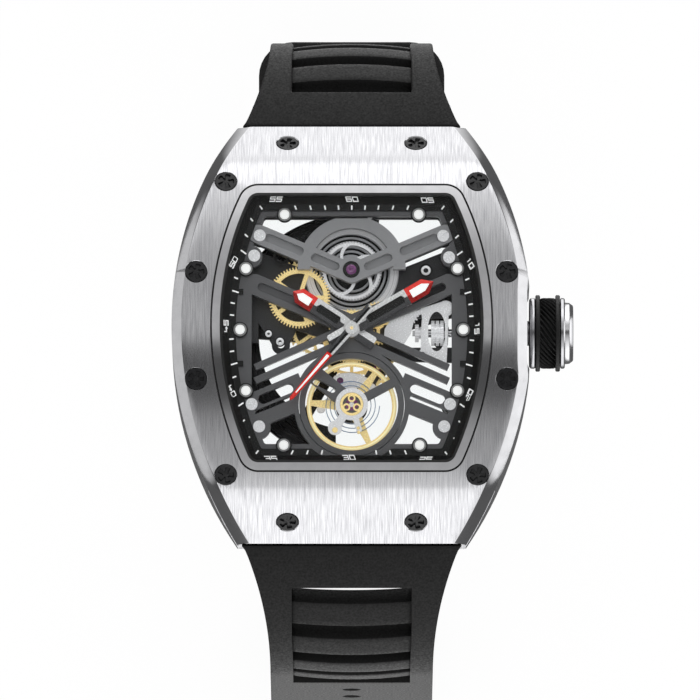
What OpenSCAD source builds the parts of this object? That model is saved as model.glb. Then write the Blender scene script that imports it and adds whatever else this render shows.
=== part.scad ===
// Automatic wristwatch: barrel-shaped steel case, open-worked movement and ribbed
// rubber strap with a pin buckle.
// +X points to the crown, +Y to 12 o'clock and +Z out of the dial.
// The origin is the centre of the case back's outer face. Lengths are millimetres, angles are degrees.

/* [Dial opening] */
// Width of the open dial inside the minute flange
dial_w = 27.8; // [27:0.1:29]
// Length of the open dial inside the minute flange
dial_l = 28.8; // [28:0.1:30]
// Radius of the long sides of the open dial in plan
dial_side_r = 35.4; // [34:0.1:40]
// Corner radius of the bezel opening
open_corner_r = 2.4; // [1.5:0.1:3.5]
// Width of the minute flange
flange_w = 1.9; // [1.7:0.1:2.3]
// Width of the polished rim round the crystal
rim_w = 0.95; // [0.7:0.05:1.4]

/* [Case] */
// Width of the bezel frame at the sides
bezel_side_w = 4.75; // [4.4:0.05:5.5]
// Width of the bezel frame at 12 and 6 o'clock
bezel_end_w = 7.95; // [7.6:0.05:8.6]
// Radius of the case's long sides in plan
case_side_r = 44.5; // [42:0.5:60]
// Radius of the bezel's crown from 12 to 6 o'clock
crest_r = 60; // [55:1:75]
// Distance from the middle at which the end slopes begin
slope_y = 19.3; // [19.2:0.1:20]
// Angle of the end slopes
slope_a = 44; // [40:1:45]
// Thickness of the bezel
bezel_t = 2; // [1.6:0.1:2.3]
// Depth of the notch beside the crown
notch_d = 0.55; // [0.3:0.05:0.8]
// Length of the notch beside the crown
notch_l = 8.8; // [8.4:0.1:10.4]
// Thickness of the case back
back_t = 1.6; // [1.4:0.1:2]
// How far the case back stands out of the case
back_proud = 0.4; // [0.2:0.1:0.8]
// Length of the case back
back_l = 39.6; // [38:0.2:40]
// Thickness of the crystal over the dial
crystal_t = 1.3; // [1:0.1:1.6]
// Thickness of the crystal in the case back
back_crystal_t = 1; // [0.8:0.1:1.2]
// How far the crystal in the case back reaches past the dial
back_crystal_g = 1.1; // [0.9:0.05:1.2]
// Width of the ledge under that crystal
back_ledge_w = 0.7; // [0.5:0.1:0.9]
// Width of the gaskets
gasket_w = 0.3; // [0.2:0.05:0.5]

/* [Stack of the movement] */
// Gap between the case back and the rotor
rotor_gap = 0.5; // [0.3:0.1:1]
// Thickness of the rotor weight
rotor_t = 0.8; // [0.6:0.1:1.2]
// Thickness of every bridge on the back side
bridge_t = 0.8; // [0.6:0.1:1.2]
// Thickness of a toothed wheel
wheel_t = 0.25; // [0.2:0.01:0.3]
// Gap between neighbouring layers of wheels
layer_gap = 0.2; // [0.15:0.01:0.3]
// Thickness of the main plate
main_t = 0.8; // [0.6:0.05:1]
// Thickness of the skeleton plate and the V bridge
skeleton_t = 1; // [0.8:0.05:1.4]
// Height of the flange track above the skeleton plate
track_rise = 0.25; // [0.15:0.05:0.4]
// Gap between the skeleton plate and the hour hand
hand_rise = 0.65; // [0.5:0.05:1]
// Thickness of the hour and minute hands
hand_t = 0.25; // [0.2:0.01:0.3]
// Step from one hand to the next
hand_step = 0.52; // [0.45:0.01:0.7]

/* [Wheels] */
// Distance from the middle to the barrel
barrel_y = 7.35; // [7.2:0.05:7.5]
// Distance from the middle to the balance
balance_y = 9; // [8.9:0.05:9.1]
// Outer radius of the balance rim
balance_r = 5.4; // [5.1:0.05:5.5]
// Third wheel, place across
third_x = -3.8; // [-3.9:0.05:-3.7]
// Third wheel, place along
third_y = 0.8; // [0.7:0.05:0.9]
// Reduction wheel, place across
reduction_x = -6.3; // [-6.4:0.05:-6.2]
// Reduction wheel, place along
reduction_y = 4.1; // [4:0.05:4.2]
// Minute wheel, place across
minute_x = 3.2; // [3.1:0.05:3.3]
// Minute wheel, place along
minute_y = 1.1; // [1:0.05:1.2]
// Setting wheel, place across
setting_x = 6.8; // [6.7:0.05:6.9]
// Setting wheel, place along
setting_y = 2.2; // [2.15:0.05:2.3]
// Escape wheel, place across
escape_x = 3.2; // [3.1:0.05:3.3]
// Escape wheel, place along
escape_y = -4.2; // [-4.3:0.05:-4.1]
// Radius of the wheel arbors
arbor_r = 0.22; // [0.18:0.01:0.25]
// Clearance of a shaft in its hole
run_gap = 0.03; // [0.02:0.01:0.05]

/* [Crown] */
// Height of the winding stem above the case back
stem_z = 6.6; // [6.4:0.1:7]
// Radius of the winding stem
stem_r = 0.5; // [0.4:0.05:0.6]
// Radius of the crown's rubber flanges
crown_r = 4.6; // [4.2:0.1:4.8]
// Radius of the crown's metal discs
disc_r = 4.25; // [3.9:0.05:4.4]
// Length of the rubber grip on the crown
grip_l = 3; // [2.6:0.1:3.6]
// Number of ridges round the grip
ridges = 22; // [16:1:28]
// How far the crown pulls out
pull = 1.2; // [0.8:0.1:1.5]

/* [Strap and buckle] */
// Width of the strap where it leaves the case
strap_root_w = 25.6; // [25:0.2:26]
// Width of the strap below the wrist line
strap_w = 19.6; // [19:0.2:21]
// Thickness of the strap
strap_t = 3.6; // [3.2:0.1:3.8]
// Radius of the strap's outer face where it turns down
bend_r = 23.5; // [23:0.5:25]
// Reach of the strap beyond the middle of the watch
reach = 38.5; // [38.2:0.1:39]
// Height of the floor under the standing watch, below the case back
stand_h = 68; // [66:1:72]
// Length of a slot between two strap ribs
slot_l = 2.2; // [1.8:0.1:2.6]
// Distance from one slot to the next
slot_step = 6.2; // [6:0.1:6.6]
// Half width of the slots between the ribs
slot_half_w = 7.2; // [6.5:0.1:7.6]
// Radius of the strap pins
pin_r = 0.75; // [0.6:0.05:0.9]
// Radius of the buckle's wire
wire_r = 1.1; // [0.9:0.05:1.3]
// Length of the buckle frame
buckle_l = 9; // [8.6:0.2:11]

/* [Hidden] */
$fn = 72;
eps = 0.01;
big = 200;
fit = 0.02;
joint_gap = 0.1;

// Plan sizes, each grown outwards from the open dial
flange_g = flange_w;
rim_g = flange_g + rim_w;
open_g = rim_g + joint_gap;
case_hw = dial_w / 2 + open_g + bezel_side_w;
case_hh = dial_l / 2 + open_g + bezel_end_w;
ledge_w = 0.45;
cavity_g = flange_g - ledge_w;
corner_min = 0.4;
ring_w = 0.7;
ring_g = cavity_g - fit;

// Heights, each stacked on the one below
rotor_z = back_t + rotor_gap;
auto_z = rotor_z + rotor_t + layer_gap;
train_bridge_z = auto_z + wheel_t + layer_gap;
fourth_z = train_bridge_z + bridge_t + layer_gap;
third_z = fourth_z + wheel_t + layer_gap;
center_z = third_z + wheel_t + layer_gap;
escape_z = center_z + wheel_t + layer_gap;
barrel_z = escape_z;
main_z = escape_z + wheel_t + layer_gap;
cannon_z = main_z + main_t + layer_gap;
hour_wheel_z = cannon_z + wheel_t + layer_gap;
ratchet_z = hour_wheel_z + wheel_t;
skeleton_z = ratchet_z + wheel_t + layer_gap;
dial_z = skeleton_z + skeleton_t;
track_z = dial_z + track_rise;
hour_z = dial_z + hand_rise;
minute_z = hour_z + hand_step;
seconds_z = minute_z + hand_step;
barrel_top_z = cannon_z - layer_gap / 2;
barrel_h = barrel_top_z - barrel_z;
balance_z = cannon_z;
balance_t = 0.42;
spring_z = balance_z + balance_t + layer_gap;

// Crown of the crystal and of the bezel, clear of the seconds hand where its tip passes 12 o'clock
seconds_tip = 11.5;
tip_drop = crest_r - sqrt(crest_r * crest_r - seconds_tip * seconds_tip);
crystal_under = seconds_z + hand_t + 0.3 + tip_drop;
crystal_top = crystal_under + crystal_t;
case_top = crystal_top - 0.1;
slope_z = arch_z(case_top, slope_y);

// Height of a crown of the bezel's radius at y, where its highest line is at top
function arch_z(top, y) = top - crest_r + sqrt(crest_r * crest_r - y * y);

// Tooth numbers of the going train, the motion work and the winding work
barrel_n = 70;
center_pinion_n = 18;
center_n = 64;
third_pinion_n = 8;
third_n = 60;
fourth_pinion_n = 8;
fourth_n = 72;
escape_pinion_n = 6;
escape_n = 15;
cannon_n = 12;
minute_n = 36;
minute_pinion_n = 10;
hour_n = 40;
reduction_n = 60;
ratchet_n = 60;
auto_n = 48;
rotor_n = 24;

hub_p = [0, 0];
barrel_p = [0, barrel_y];
balance_p = [0, -balance_y];
third_p = [third_x, third_y];
reduction_p = [reduction_x, reduction_y];
minute_p = [minute_x, minute_y];
setting_p = [setting_x, setting_y];
escape_p = [escape_x, escape_y];

// Plan outlines

// Barrel outline with straight ends and arched sides
module barrel2d(hw, hh, side_r) {
    intersection() {
        translate([hw - side_r, 0]) circle(side_r, $fn = 360);
        translate([side_r - hw, 0]) circle(side_r, $fn = 360);
        square([2 * hw, 2 * hh], center = true);
    }
}

// Outline of the dial opening grown by g, with rounded corners
module window2d(g) {
    c = max(corner_min, open_corner_r + g - open_g);
    offset(r = c) barrel2d(dial_w / 2 + g - c, dial_l / 2 + g - c, dial_side_r + g - c);
}

module case2d(inset) {
    barrel2d(case_hw - inset, case_hh - inset, case_side_r - inset);
}

// Round-ended bar between two points, its sides a hair inside its ends so that they cross cleanly
module bar2d(p, q, half) {
    translate(p) circle(half);
    translate(q) circle(half);
    beam2d(p, q, half - 0.003);
}

// Square-ended bar between two points
module beam2d(p, q, half) {
    d = q - p;
    translate(p) rotate(atan2(d[1], d[0])) translate([0, -half]) square([norm(d), 2 * half]);
}

module slab(z, t) {
    translate([0, 0, z]) linear_extrude(t) children();
}

module disc(p, r, z, t) {
    translate([p[0], p[1], z]) cylinder(r = r, h = t);
}

module drill(p, r) {
    translate([p[0], p[1], -eps]) cylinder(r = r, h = big);
}

// Drawn on one side and on the other
module both_sides() {
    children();
    mirror([1, 0, 0]) children();
}

// Side view drawn across the watch, w wide
module wide(w) {
    translate([-w / 2, 0, 0]) rotate([90, 0, 90]) linear_extrude(w) children();
}

// Crest of the case from 12 to 6 o'clock
function crest(y) = abs(y) < slope_y
    ? arch_z(case_top, y)
    : slope_z - (abs(y) - slope_y) * tan(slope_a);
function crest_angle(y) = abs(y) < slope_y + 0.5
    ? asin(min(abs(y), slope_y) / crest_r)
    : slope_a;

// Side view of everything below the crest, lowered by drop
module crest2d(drop) {
    lower = drop / cos(slope_a);
    run = case_hh + 10 - slope_y;
    intersection() {
        translate([0, case_top - crest_r]) circle(crest_r - drop, $fn = 360);
        polygon([
            [-slope_y - run, -10], [slope_y + run, -10],
            [slope_y + run, slope_z - lower - run * tan(slope_a)],
            [slope_y, slope_z - lower], [slope_y, case_top + 5],
            [-slope_y, case_top + 5], [-slope_y, slope_z - lower],
            [-slope_y - run, slope_z - lower - run * tan(slope_a)]
        ]);
    }
}

module under_crest(drop) {
    wide(big) crest2d(drop);
}

// Screw places, shared by the screws and by their seats

bezel_screw_head_r = 1.29;
bezel_screw_head_t = 0.7;
bezel_screw_shank_r = 0.55;
bezel_screw_shank_l = 1.9;
end_screw = [7.7, case_hh - 2.3];
corner_screw = [15.1, slope_y - 1.5];
side_screw = [case_hw - 2.95, 6.5];
bezel_screw_places = [end_screw, corner_screw, side_screw];

// Every bezel screw in its place, normal to the face, its head flush
module at_bezel_screws() {
    for (p = bezel_screw_places, sx = [-1, 1], sy = [-1, 1]) {
        translate([sx * p[0], sy * p[1], crest(p[1])])
            rotate([-sy * crest_angle(p[1]), 0, 0]) children();
    }
}

module screw_star2d(r) {
    for (i = [0 : 4]) rotate(i * 36) square([2 * r, r * 0.26], center = true);
}

module bezel_screws() {
    color("#1b1b1c") at_bezel_screws() {
        difference() {
            translate([0, 0, -bezel_screw_head_t])
                cylinder(r = bezel_screw_head_r, h = bezel_screw_head_t);
            translate([0, 0, -0.25]) linear_extrude(1) screw_star2d(bezel_screw_head_r * 0.78);
        }
        translate([0, 0, -bezel_screw_head_t - bezel_screw_shank_l])
            cylinder(r = bezel_screw_shank_r, h = bezel_screw_shank_l + eps);
    }
}

module bezel_screw_holes() {
    depth = bezel_screw_head_t + bezel_screw_shank_l + 0.2;
    at_bezel_screws() rotate_extrude() polygon([
        [0, -depth], [bezel_screw_shank_r + fit, -depth],
        [bezel_screw_shank_r + fit, -bezel_screw_head_t],
        [bezel_screw_head_r + fit, -bezel_screw_head_t], [bezel_screw_head_r + fit, 3], [0, 3]
    ]);
}

// Case

notch_slope_l = 1.4;
module notch2d() {
    half = notch_l / 2;
    run = notch_slope_l * (1 + notch_d) / notch_d;
    polygon([
        [case_hw - notch_d, -half], [case_hw + 1, -half - run],
        [case_hw + 1, half + run], [case_hw - notch_d, half]
    ]);
}

module bezel() {
    color("#c4c5c7") difference() {
        intersection() {
            wide(big) difference() {
                crest2d(0);
                crest2d(bezel_t);
            }
            slab(0, case_top + 5) difference() {
                case2d(0);
                window2d(open_g);
                notch2d();
            }
        }
        bezel_screw_holes();
    }
}

// Pocket for the strap's knuckle at each end of the case
pin_y = case_hh - 3.3;
pin_z = 2.6;
knuckle_r = 1.7;
knuckle_gap = 0.3;
tongue_w = 19;

module strap_pocket() {
    w = tongue_w + 2 * knuckle_gap;
    r = knuckle_r + knuckle_gap;
    translate([-w / 2, pin_y, pin_z]) rotate([0, 90, 0]) cylinder(r = r, h = w);
    translate([-w / 2, pin_y, -1]) cube([w, 10, crest(0)]);
    translate([-w / 2, pin_y - r, -1]) cube([w, 10, 1 + pin_z]);
}

back_side_inset = 1.6;
module back2d(g) {
    barrel2d(case_hw - back_side_inset + g, back_l / 2 + g, case_side_r);
}

tube_r = 1.5;
crown_gap = 0.25;
crown_x = case_hw - notch_d + crown_gap;

module case_middle() {
    color("#b9babc") difference() {
        intersection() {
            slab(back_proud, case_top) difference() {
                case2d(0);
                notch2d();
            }
            under_crest(bezel_t + fit);
        }
        slab(back_t - eps, big) window2d(cavity_g);
        slab(skeleton_z, big) window2d(rim_g + fit);
        slab(-1, back_t + 1) back2d(fit);
        for (sy = [0, 1]) mirror([0, sy, 0]) {
            strap_pocket();
            translate([-pin_l / 2, pin_y, pin_z]) rotate([0, 90, 0])
                cylinder(r = pin_r + fit, h = pin_l);
        }
        translate([10, 0, stem_z]) rotate([0, 90, 0]) cylinder(r = tube_r + fit, h = big);
        bezel_screw_holes();
        for (p = back_screw_places) drill(p, back_screw_r + fit);
    }
}

// Polished rim that holds the crystal
module inner_rim() {
    color("#d9dadc") intersection() {
        slab(skeleton_z, case_top + 5) difference() {
            window2d(rim_g);
            window2d(flange_g + fit);
        }
        under_crest(0.05);
    }
}

module crystal() {
    color([0.8, 0.9, 0.95, 0.3]) intersection() {
        slab(track_z, case_top + 5) window2d(flange_g - gasket_w);
        difference() {
            wide(big) arch2d(crystal_top);
            wide(big) arch2d(crystal_under);
        }
    }
}

// Side view of everything below a crown of the bezel's radius whose top is at height top
module arch2d(top) {
    translate([0, top - crest_r]) circle(crest_r, $fn = 360);
}

module crystal_gasket() {
    color("#151515") intersection() {
        slab(track_z, case_top + 5) difference() {
            window2d(flange_g);
            window2d(flange_g - gasket_w + fit);
        }
        difference() {
            wide(big) arch2d(crystal_top - 0.2);
            wide(big) arch2d(crystal_under);
        }
    }
}

// Case back and its screws

back_screw_r = 0.5;
back_screw_head_r = 1.1;
back_screw_head_t = 0.6;
back_screw_l = 3;
back_screw_step = 8;
// Halfway between the end of the movement's room and the end of the back
back_screw_y = (dial_l / 2 + cavity_g + back_l / 2) / 2;
back_screw_places = [
    for (i = [-1.5:1:1.5], sy = [-1, 1]) [i * back_screw_step, sy * back_screw_y]
];

module case_back() {
    color("#b4b5b8") difference() {
        slab(0, back_t) back2d(0);
        slab(-1, back_t + 2) window2d(back_crystal_g - back_ledge_w);
        slab(-1, back_crystal_t + 1) window2d(back_crystal_g + gasket_w);
        for (p = back_screw_places) {
            translate([p[0], p[1], -1]) cylinder(r = back_screw_r + fit, h = back_t + 2);
            translate([p[0], p[1], -1]) cylinder(r = back_screw_head_r + fit, h = back_screw_head_t + 1);
        }
    }
}

module back_crystal() {
    color([0.8, 0.9, 0.95, 0.3]) slab(0, back_crystal_t) window2d(back_crystal_g);
}

module back_gasket() {
    color("#151515") difference() {
        slab(0.1, back_crystal_t - 0.1) window2d(back_crystal_g + gasket_w - fit);
        slab(-1, back_crystal_t + 2) window2d(back_crystal_g + fit);
    }
}

module back_screws() {
    color("#9a9b9d") for (p = back_screw_places) translate([p[0], p[1], 0]) {
        difference() {
            cylinder(r = back_screw_head_r, h = back_screw_head_t);
            translate([0, 0, 0.1]) cube([back_screw_head_r * 1.7, 0.3, 0.4], center = true);
        }
        cylinder(r = back_screw_r, h = back_screw_l);
    }
}

// Minute flange

dot_r = 0.79;
dot_places = [
    [8.05, dial_l / 2 - 0.45], [dial_w / 2 - 1.2, 7.4], [dial_w / 2 - 0.5, 0],
    [dial_w / 2 - 1.2, -7.4], [8.15, 0.4 - dial_l / 2]
];
track_g = 0.8;

module dots() {
    both_sides() for (p = dot_places) translate(p) children();
}

module flange_slope() {
    rise = arch_z(crystal_under, dial_l / 2 + flange_g) - track_z - 0.1;
    difference() {
        slab(track_z - eps, rise) window2d(flange_g - fit);
        hull() {
            slab(track_z - 2 * eps, eps) window2d(track_g);
            slab(track_z + rise, eps) window2d(flange_g - 0.15);
        }
    }
}

module flange_plan2d() {
    difference() {
        union() {
            difference() {
                window2d(flange_g - fit);
                window2d(0);
            }
            intersection() {
                dots() circle(dot_r + 0.16);
                window2d(0.5);
            }
            both_sides() for (y = [4.6, -4.1]) {
                translate([dial_w / 2 - 0.15, y]) square([1.5, 0.7], center = true);
            }
        }
        translate(balance_p) circle(ring_outer_r + 0.25);
    }
}

module minute_flange() {
    color("#131313") {
        slab(dial_z, track_rise) flange_plan2d();
        slab(skeleton_z, dial_z - skeleton_z + eps) difference() {
            window2d(flange_g - fit);
            window2d(cavity_g + fit);
        }
        flange_slope();
    }
}

module lume_dots() {
    color("#f4f4ee") slab(track_z, 0.3) dots() circle(dot_r);
}

// Ring that carries the movement in the case
ring_low_z = train_bridge_z - 0.2;
module movement_ring() {
    color("#8f9092") slab(ring_low_z, skeleton_z - ring_low_z) difference() {
        window2d(ring_g);
        window2d(ring_g - ring_w);
        translate([0, -2]) square([40, 4]);
    }
}

// Crown

inner_disc_l = 0.75;
outer_disc_l = 0.55;
cap_l = 1;
grip_x = crown_x + inner_disc_l;
bore_r = 2;

module along_x(x, r, l) {
    translate([x, 0, stem_z]) rotate([0, 90, 0]) cylinder(r = r, h = l);
}

module crown() {
    outer_x = grip_x + grip_l;
    color("#c9cacc") difference() {
        union() {
            along_x(crown_x, disc_r, inner_disc_l);
            along_x(crown_x, core_r, inner_disc_l + grip_l + eps);
            along_x(outer_x, disc_r, outer_disc_l);
            translate([outer_x + outer_disc_l, 0, stem_z]) rotate([0, 90, 0])
                rotate_extrude() polygon([
                    [0, -eps], [disc_r * 0.87, -eps], [disc_r * 0.87, cap_l * 0.55],
                    [disc_r * 0.79, cap_l], [0, cap_l]
                ]);
        }
        along_x(crown_x - 1, bore_r, 1 + inner_disc_l + pull + 0.6);
        along_x(crown_x, stem_r + fit, inner_disc_l + grip_l - 0.3);
    }
}

core_r = disc_r - 1.1;
grip_r = disc_r;
grip_flange_l = 0.55;

// Rubber sleeve with ridges between two flanges
module crown_grip() {
    color("#1c1c1c") translate([grip_x + fit, 0, stem_z]) rotate([0, 90, 0]) difference() {
        union() {
            cylinder(r = crown_r, h = grip_flange_l);
            translate([0, 0, grip_l - 2 * fit - grip_flange_l])
                cylinder(r = crown_r, h = grip_flange_l);
            linear_extrude(grip_l - 2 * fit) difference() {
                circle(grip_r + 0.05);
                for (i = [0 : ridges - 1]) rotate(i * 360 / ridges)
                    translate([grip_r + 0.12, 0]) circle(0.3, $fn = 16);
            }
        }
        translate([0, 0, -1]) cylinder(r = core_r + fit, h = grip_l + 2);
    }
}

stem_inner_x = 9.2;
module winding_stem() {
    color("#bfc0c2") {
        along_x(stem_inner_x, stem_r, crown_x + inner_disc_l + grip_l - 0.4 - stem_inner_x);
        translate([stem_inner_x - 1.9, -stem_r * 0.6, stem_z - stem_r * 0.6])
            cube([1.9 + eps, stem_r * 1.2, stem_r * 1.2]);
    }
}

module crown_tube() {
    color("#a9aaac") difference() {
        along_x(dial_w / 2 + cavity_g + 0.6, tube_r, crown_x + 0.9 - dial_w / 2 - cavity_g - 0.6);
        along_x(5, stem_r + 0.05, big);
    }
}

// Toothed wheels

// Outline of a wheel of n teeth with a given pitch radius; a tooth is centred on the angle phase
function tooth_points(n, r, phase, add, ded) = [
    for (i = [0 : n - 1], k = [0 : 3])
        let (a = phase + 360 / n * (i + [-0.27, -0.11, 0.11, 0.27][k]))
        let (rr = (k == 0 || k == 3) ? r - ded : r + add)
        [rr * cos(a), rr * sin(a)]
];

module gear2d(n, r, phase) {
    m = 2 * r / n;
    polygon(tooth_points(n, r, phase, 0.55 * m, 0.95 * m));
}

// Phase of a wheel of n2 teeth that meshes, in direction a, with one of n1 teeth and phase ph1
function mesh(ph1, n1, n2, a) = a + 180 - 180 / n2 + (a - ph1) * n1 / n2;
function bearing(p, q) = atan2(q[1] - p[1], q[0] - p[0]);
function share(p, q, n, other) = norm(q - p) * n / (n + other);

center_r = share(hub_p, third_p, center_n, third_pinion_n);
third_pinion_r = share(hub_p, third_p, third_pinion_n, center_n);
third_r = share(hub_p, third_p, third_n, fourth_pinion_n);
fourth_pinion_r = share(hub_p, third_p, fourth_pinion_n, third_n);
fourth_r = share(hub_p, escape_p, fourth_n, escape_pinion_n);
escape_pinion_r = share(hub_p, escape_p, escape_pinion_n, fourth_n);
barrel_r = share(hub_p, barrel_p, barrel_n, center_pinion_n);
center_pinion_r = share(hub_p, barrel_p, center_pinion_n, barrel_n);
cannon_r = share(hub_p, minute_p, cannon_n, minute_n);
minute_r = share(hub_p, minute_p, minute_n, cannon_n);
minute_pinion_r = share(hub_p, minute_p, minute_pinion_n, hour_n);
hour_r = share(hub_p, minute_p, hour_n, minute_pinion_n);
setting_r = norm(setting_p - minute_p) - minute_r;
setting_teeth = round(minute_n * setting_r / minute_r);
reduction_r = share(reduction_p, barrel_p, reduction_n, ratchet_n);
ratchet_r = share(reduction_p, barrel_p, ratchet_n, reduction_n);
auto_r = share(hub_p, reduction_p, auto_n, rotor_n);
rotor_gear_r = share(hub_p, reduction_p, rotor_n, auto_n);
escape_r = 2.1;

// Wheel with a rim, a hub and straight spokes
module spoked2d(n, r, phase, rim, hub, spokes, spoke) {
    difference() {
        gear2d(n, r, phase);
        circle(r - rim);
    }
    circle(hub);
    for (i = [0 : spokes - 1]) rotate(i * 360 / spokes)
        translate([0, -spoke / 2]) square([r - rim / 2, spoke]);
}

// Coaxial arbors at the middle, each running in the next
center_tube_r = arbor_r + 0.2;
cannon_tube_r = center_tube_r + 0.2;
hour_tube_r = cannon_tube_r + 0.22;

module spoked_wheel(n, r, phase, rim, hub, spokes, spoke, z) {
    slab(z, wheel_t) spoked2d(n, r, phase, rim, hub, spokes, spoke);
}

// Going train

pivot_low_z = train_bridge_z + 0.2;

module fourth_wheel() {
    a = bearing(third_p, hub_p);
    color("#d8b868") {
        spoked_wheel(fourth_n, fourth_r, 0, 0.45, 0.7, 4, 0.4, fourth_z);
        slab(third_z - 0.05, wheel_t + 0.1)
            gear2d(fourth_pinion_n, fourth_pinion_r, mesh(third_phase, third_n, fourth_pinion_n, a));
        disc(hub_p, arbor_r, pivot_low_z, seconds_z + hand_t - pivot_low_z);
    }
}

// The third wheel runs on a headed stud of the main plate, clear of the fourth wheel below it
third_phase = 0;
third_tube_r = arbor_r + 0.1;
module third_wheel() {
    a = bearing(hub_p, third_p);
    color("#e0c275") translate(third_p) {
        difference() {
            union() {
                spoked_wheel(third_n, third_r, third_phase, 0.45, 0.7, 5, 0.4, third_z);
                slab(center_z - 0.05, wheel_t + 0.1)
                    gear2d(third_pinion_n, third_pinion_r, mesh(0, center_n, third_pinion_n, a));
                disc([0, 0], third_tube_r, third_z, main_z - third_z - run_gap);
            }
            drill([0, 0], arbor_r + run_gap);
        }
    }
}

module center_wheel() {
    a = bearing(barrel_p, hub_p);
    color("#d8b868") difference() {
        union() {
            spoked_wheel(center_n, center_r, 0, 0.5, 0.95, 4, 0.45, center_z);
            slab(barrel_z, wheel_t)
                gear2d(center_pinion_n, center_pinion_r, mesh(0, barrel_n, center_pinion_n, a));
            disc(hub_p, 0.8, center_z, barrel_z - center_z + eps);
            disc(hub_p, center_tube_r, center_z, minute_z - center_z - 0.1);
        }
        drill(hub_p, arbor_r + run_gap);
    }
}

module escape_wheel() {
    a = bearing(hub_p, escape_p);
    color("#d8b868") translate(escape_p) {
        slab(escape_z, wheel_t) {
            difference() {
                polygon([
                    for (i = [0 : escape_n - 1], k = [0 : 2])
                        let (t = 360 / escape_n * (i + [0, 0.12, 0.75][k]))
                        let (r = escape_r - [0, 0, 0.4][k])
                        [r * cos(t), r * sin(t)]
                ]);
                circle(escape_r - 0.65);
            }
            circle(0.5);
            for (i = [0 : 3]) rotate(90 * i) translate([0, -0.15]) square([escape_r - 0.5, 0.3]);
        }
        slab(fourth_z - 0.05, wheel_t + 0.1)
            gear2d(escape_pinion_n, escape_pinion_r, mesh(0, fourth_n, escape_pinion_n, a));
        disc([0, 0], arbor_r, pivot_low_z, main_z + main_t - pivot_low_z - 0.1);
    }
}

// Pallet fork between the escape wheel and the balance
pallet_share = 0.5;
pallet_p = escape_p + (balance_p - escape_p) * pallet_share;
pallet_reach = norm(balance_p - pallet_p);
stone_x = 1.35;
roller_r = 0.55;

module pallet_fork() {
    to_wheel = norm(escape_p - pallet_p);
    stone_tip = to_wheel - sqrt(pow(escape_r + 0.3, 2) - stone_x * stone_x);
    color("#c8c9cb") translate(pallet_p) rotate(bearing(pallet_p, balance_p) - 90) {
        slab(escape_z, wheel_t) {
            circle(0.45);
            translate([-stone_x - 0.2, -0.25]) square([2 * stone_x + 0.4, 0.5]);
            for (sx = [-1, 1]) translate([sx * stone_x - 0.16, -stone_tip]) square([0.32, stone_tip]);
            translate([-0.16, 0]) square([0.32, pallet_reach - roller_r - 0.45]);
            for (sx = [-1, 1]) translate([sx * 0.26 - 0.12, pallet_reach - roller_r - 0.75])
                square([0.24, 0.5]);
            translate([-0.38, pallet_reach - roller_r - 0.85]) square([0.76, 0.3]);
        }
        disc([0, 0], arbor_r, pivot_low_z, main_z + main_t - pivot_low_z - 0.1);
    }
}

// Barrel

drum_wall = 0.45;
drum_floor = 0.35;
drum_lid = 0.2;
drum_lip = 0.9;
arbor_core_r = 1.1;
drum_r = barrel_r - 0.3;

module barrel_drum() {
    color("#bcbdbf") translate(barrel_p) difference() {
        union() {
            slab(barrel_z, wheel_t) gear2d(barrel_n, barrel_r, 0);
            disc([0, 0], drum_r, barrel_z, barrel_h);
        }
        disc([0, 0], drum_r - drum_wall, barrel_z + drum_floor, barrel_h - drum_floor - drum_lid);
        disc([0, 0], drum_r - drum_lip, barrel_z + drum_floor, barrel_h);
        drill([0, 0], 0.45 + run_gap);
    }
}

spring_turns = 5;
spring_in_r = arbor_core_r + 0.15;
spring_out_r = drum_r - drum_wall - 0.12;

// Flat band of thickness t that winds out from r0 to r1
function on_spiral(r0, r1, turns, u) =
    (r0 + (r1 - r0) * u) * [cos(360 * turns * u), sin(360 * turns * u)];
function spiral_points(r0, r1, turns, t, steps) = concat(
    [for (i = [0 : steps]) on_spiral(r0, r1, turns, i / steps)],
    [for (i = [steps : -1 : 0]) on_spiral(r0 - t, r1 - t, turns, i / steps)]
);

main_spring_t = 0.2;
hair_spring_t = 0.09;
hair_turns = 5;
hair_in_r = 0.75;
hair_out_r = 3.4;
echo(main_spring_gap = (spring_out_r - spring_in_r) / spring_turns - main_spring_t);
echo(hair_spring_gap = (hair_out_r - hair_in_r) / hair_turns - hair_spring_t);

module mainspring() {
    steps = 30 * spring_turns;
    color("#86878a") translate(barrel_p)
        slab(barrel_z + drum_floor + 0.05, barrel_h - drum_floor - drum_lid - 0.15)
            polygon(spiral_points(
                spring_in_r + main_spring_t, spring_out_r, spring_turns, main_spring_t, steps
            ));
}

module barrel_arbor() {
    core_z = barrel_z + drum_floor + 0.03;
    color("#a5a6a8") {
        disc(barrel_p, 0.45, pivot_low_z, dial_z - pivot_low_z - 0.1);
        disc(barrel_p, arbor_core_r, core_z, ratchet_z - core_z);
    }
}

module ratchet_wheel() {
    a = bearing(reduction_p, barrel_p);
    color("#c2c3c5") translate(barrel_p) slab(ratchet_z, wheel_t) difference() {
        union() {
            difference() {
                gear2d(ratchet_n, ratchet_r, mesh(0, reduction_n, ratchet_n, a));
                circle(ratchet_r - 0.45);
            }
            circle(1.1);
            for (i = [0 : 4]) rotate(i * 72) intersection() {
                circle(ratchet_r - 0.3);
                translate([ratchet_r / 2, 0]) difference() {
                    circle(ratchet_r / 2 + 0.2);
                    circle(ratchet_r / 2 - 0.2);
                }
                square([big, big]);
            }
        }
        circle(0.45 + fit);
    }
}

// Self-winding work

module reduction_wheel() {
    a = bearing(hub_p, reduction_p);
    color("#e6cc83") translate(reduction_p) {
        spoked_wheel(reduction_n, reduction_r, 0, 0.6, 0.85, 5, 0.5, ratchet_z);
        disc([0, 0], arbor_r + 0.1, auto_z, skeleton_z + 0.3 - auto_z);
    }
    color("#b8903f") translate(reduction_p)
        spoked_wheel(auto_n, auto_r, mesh(0, rotor_n, auto_n, a), 0.6, 1, 5, 0.6, auto_z);
}

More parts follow.
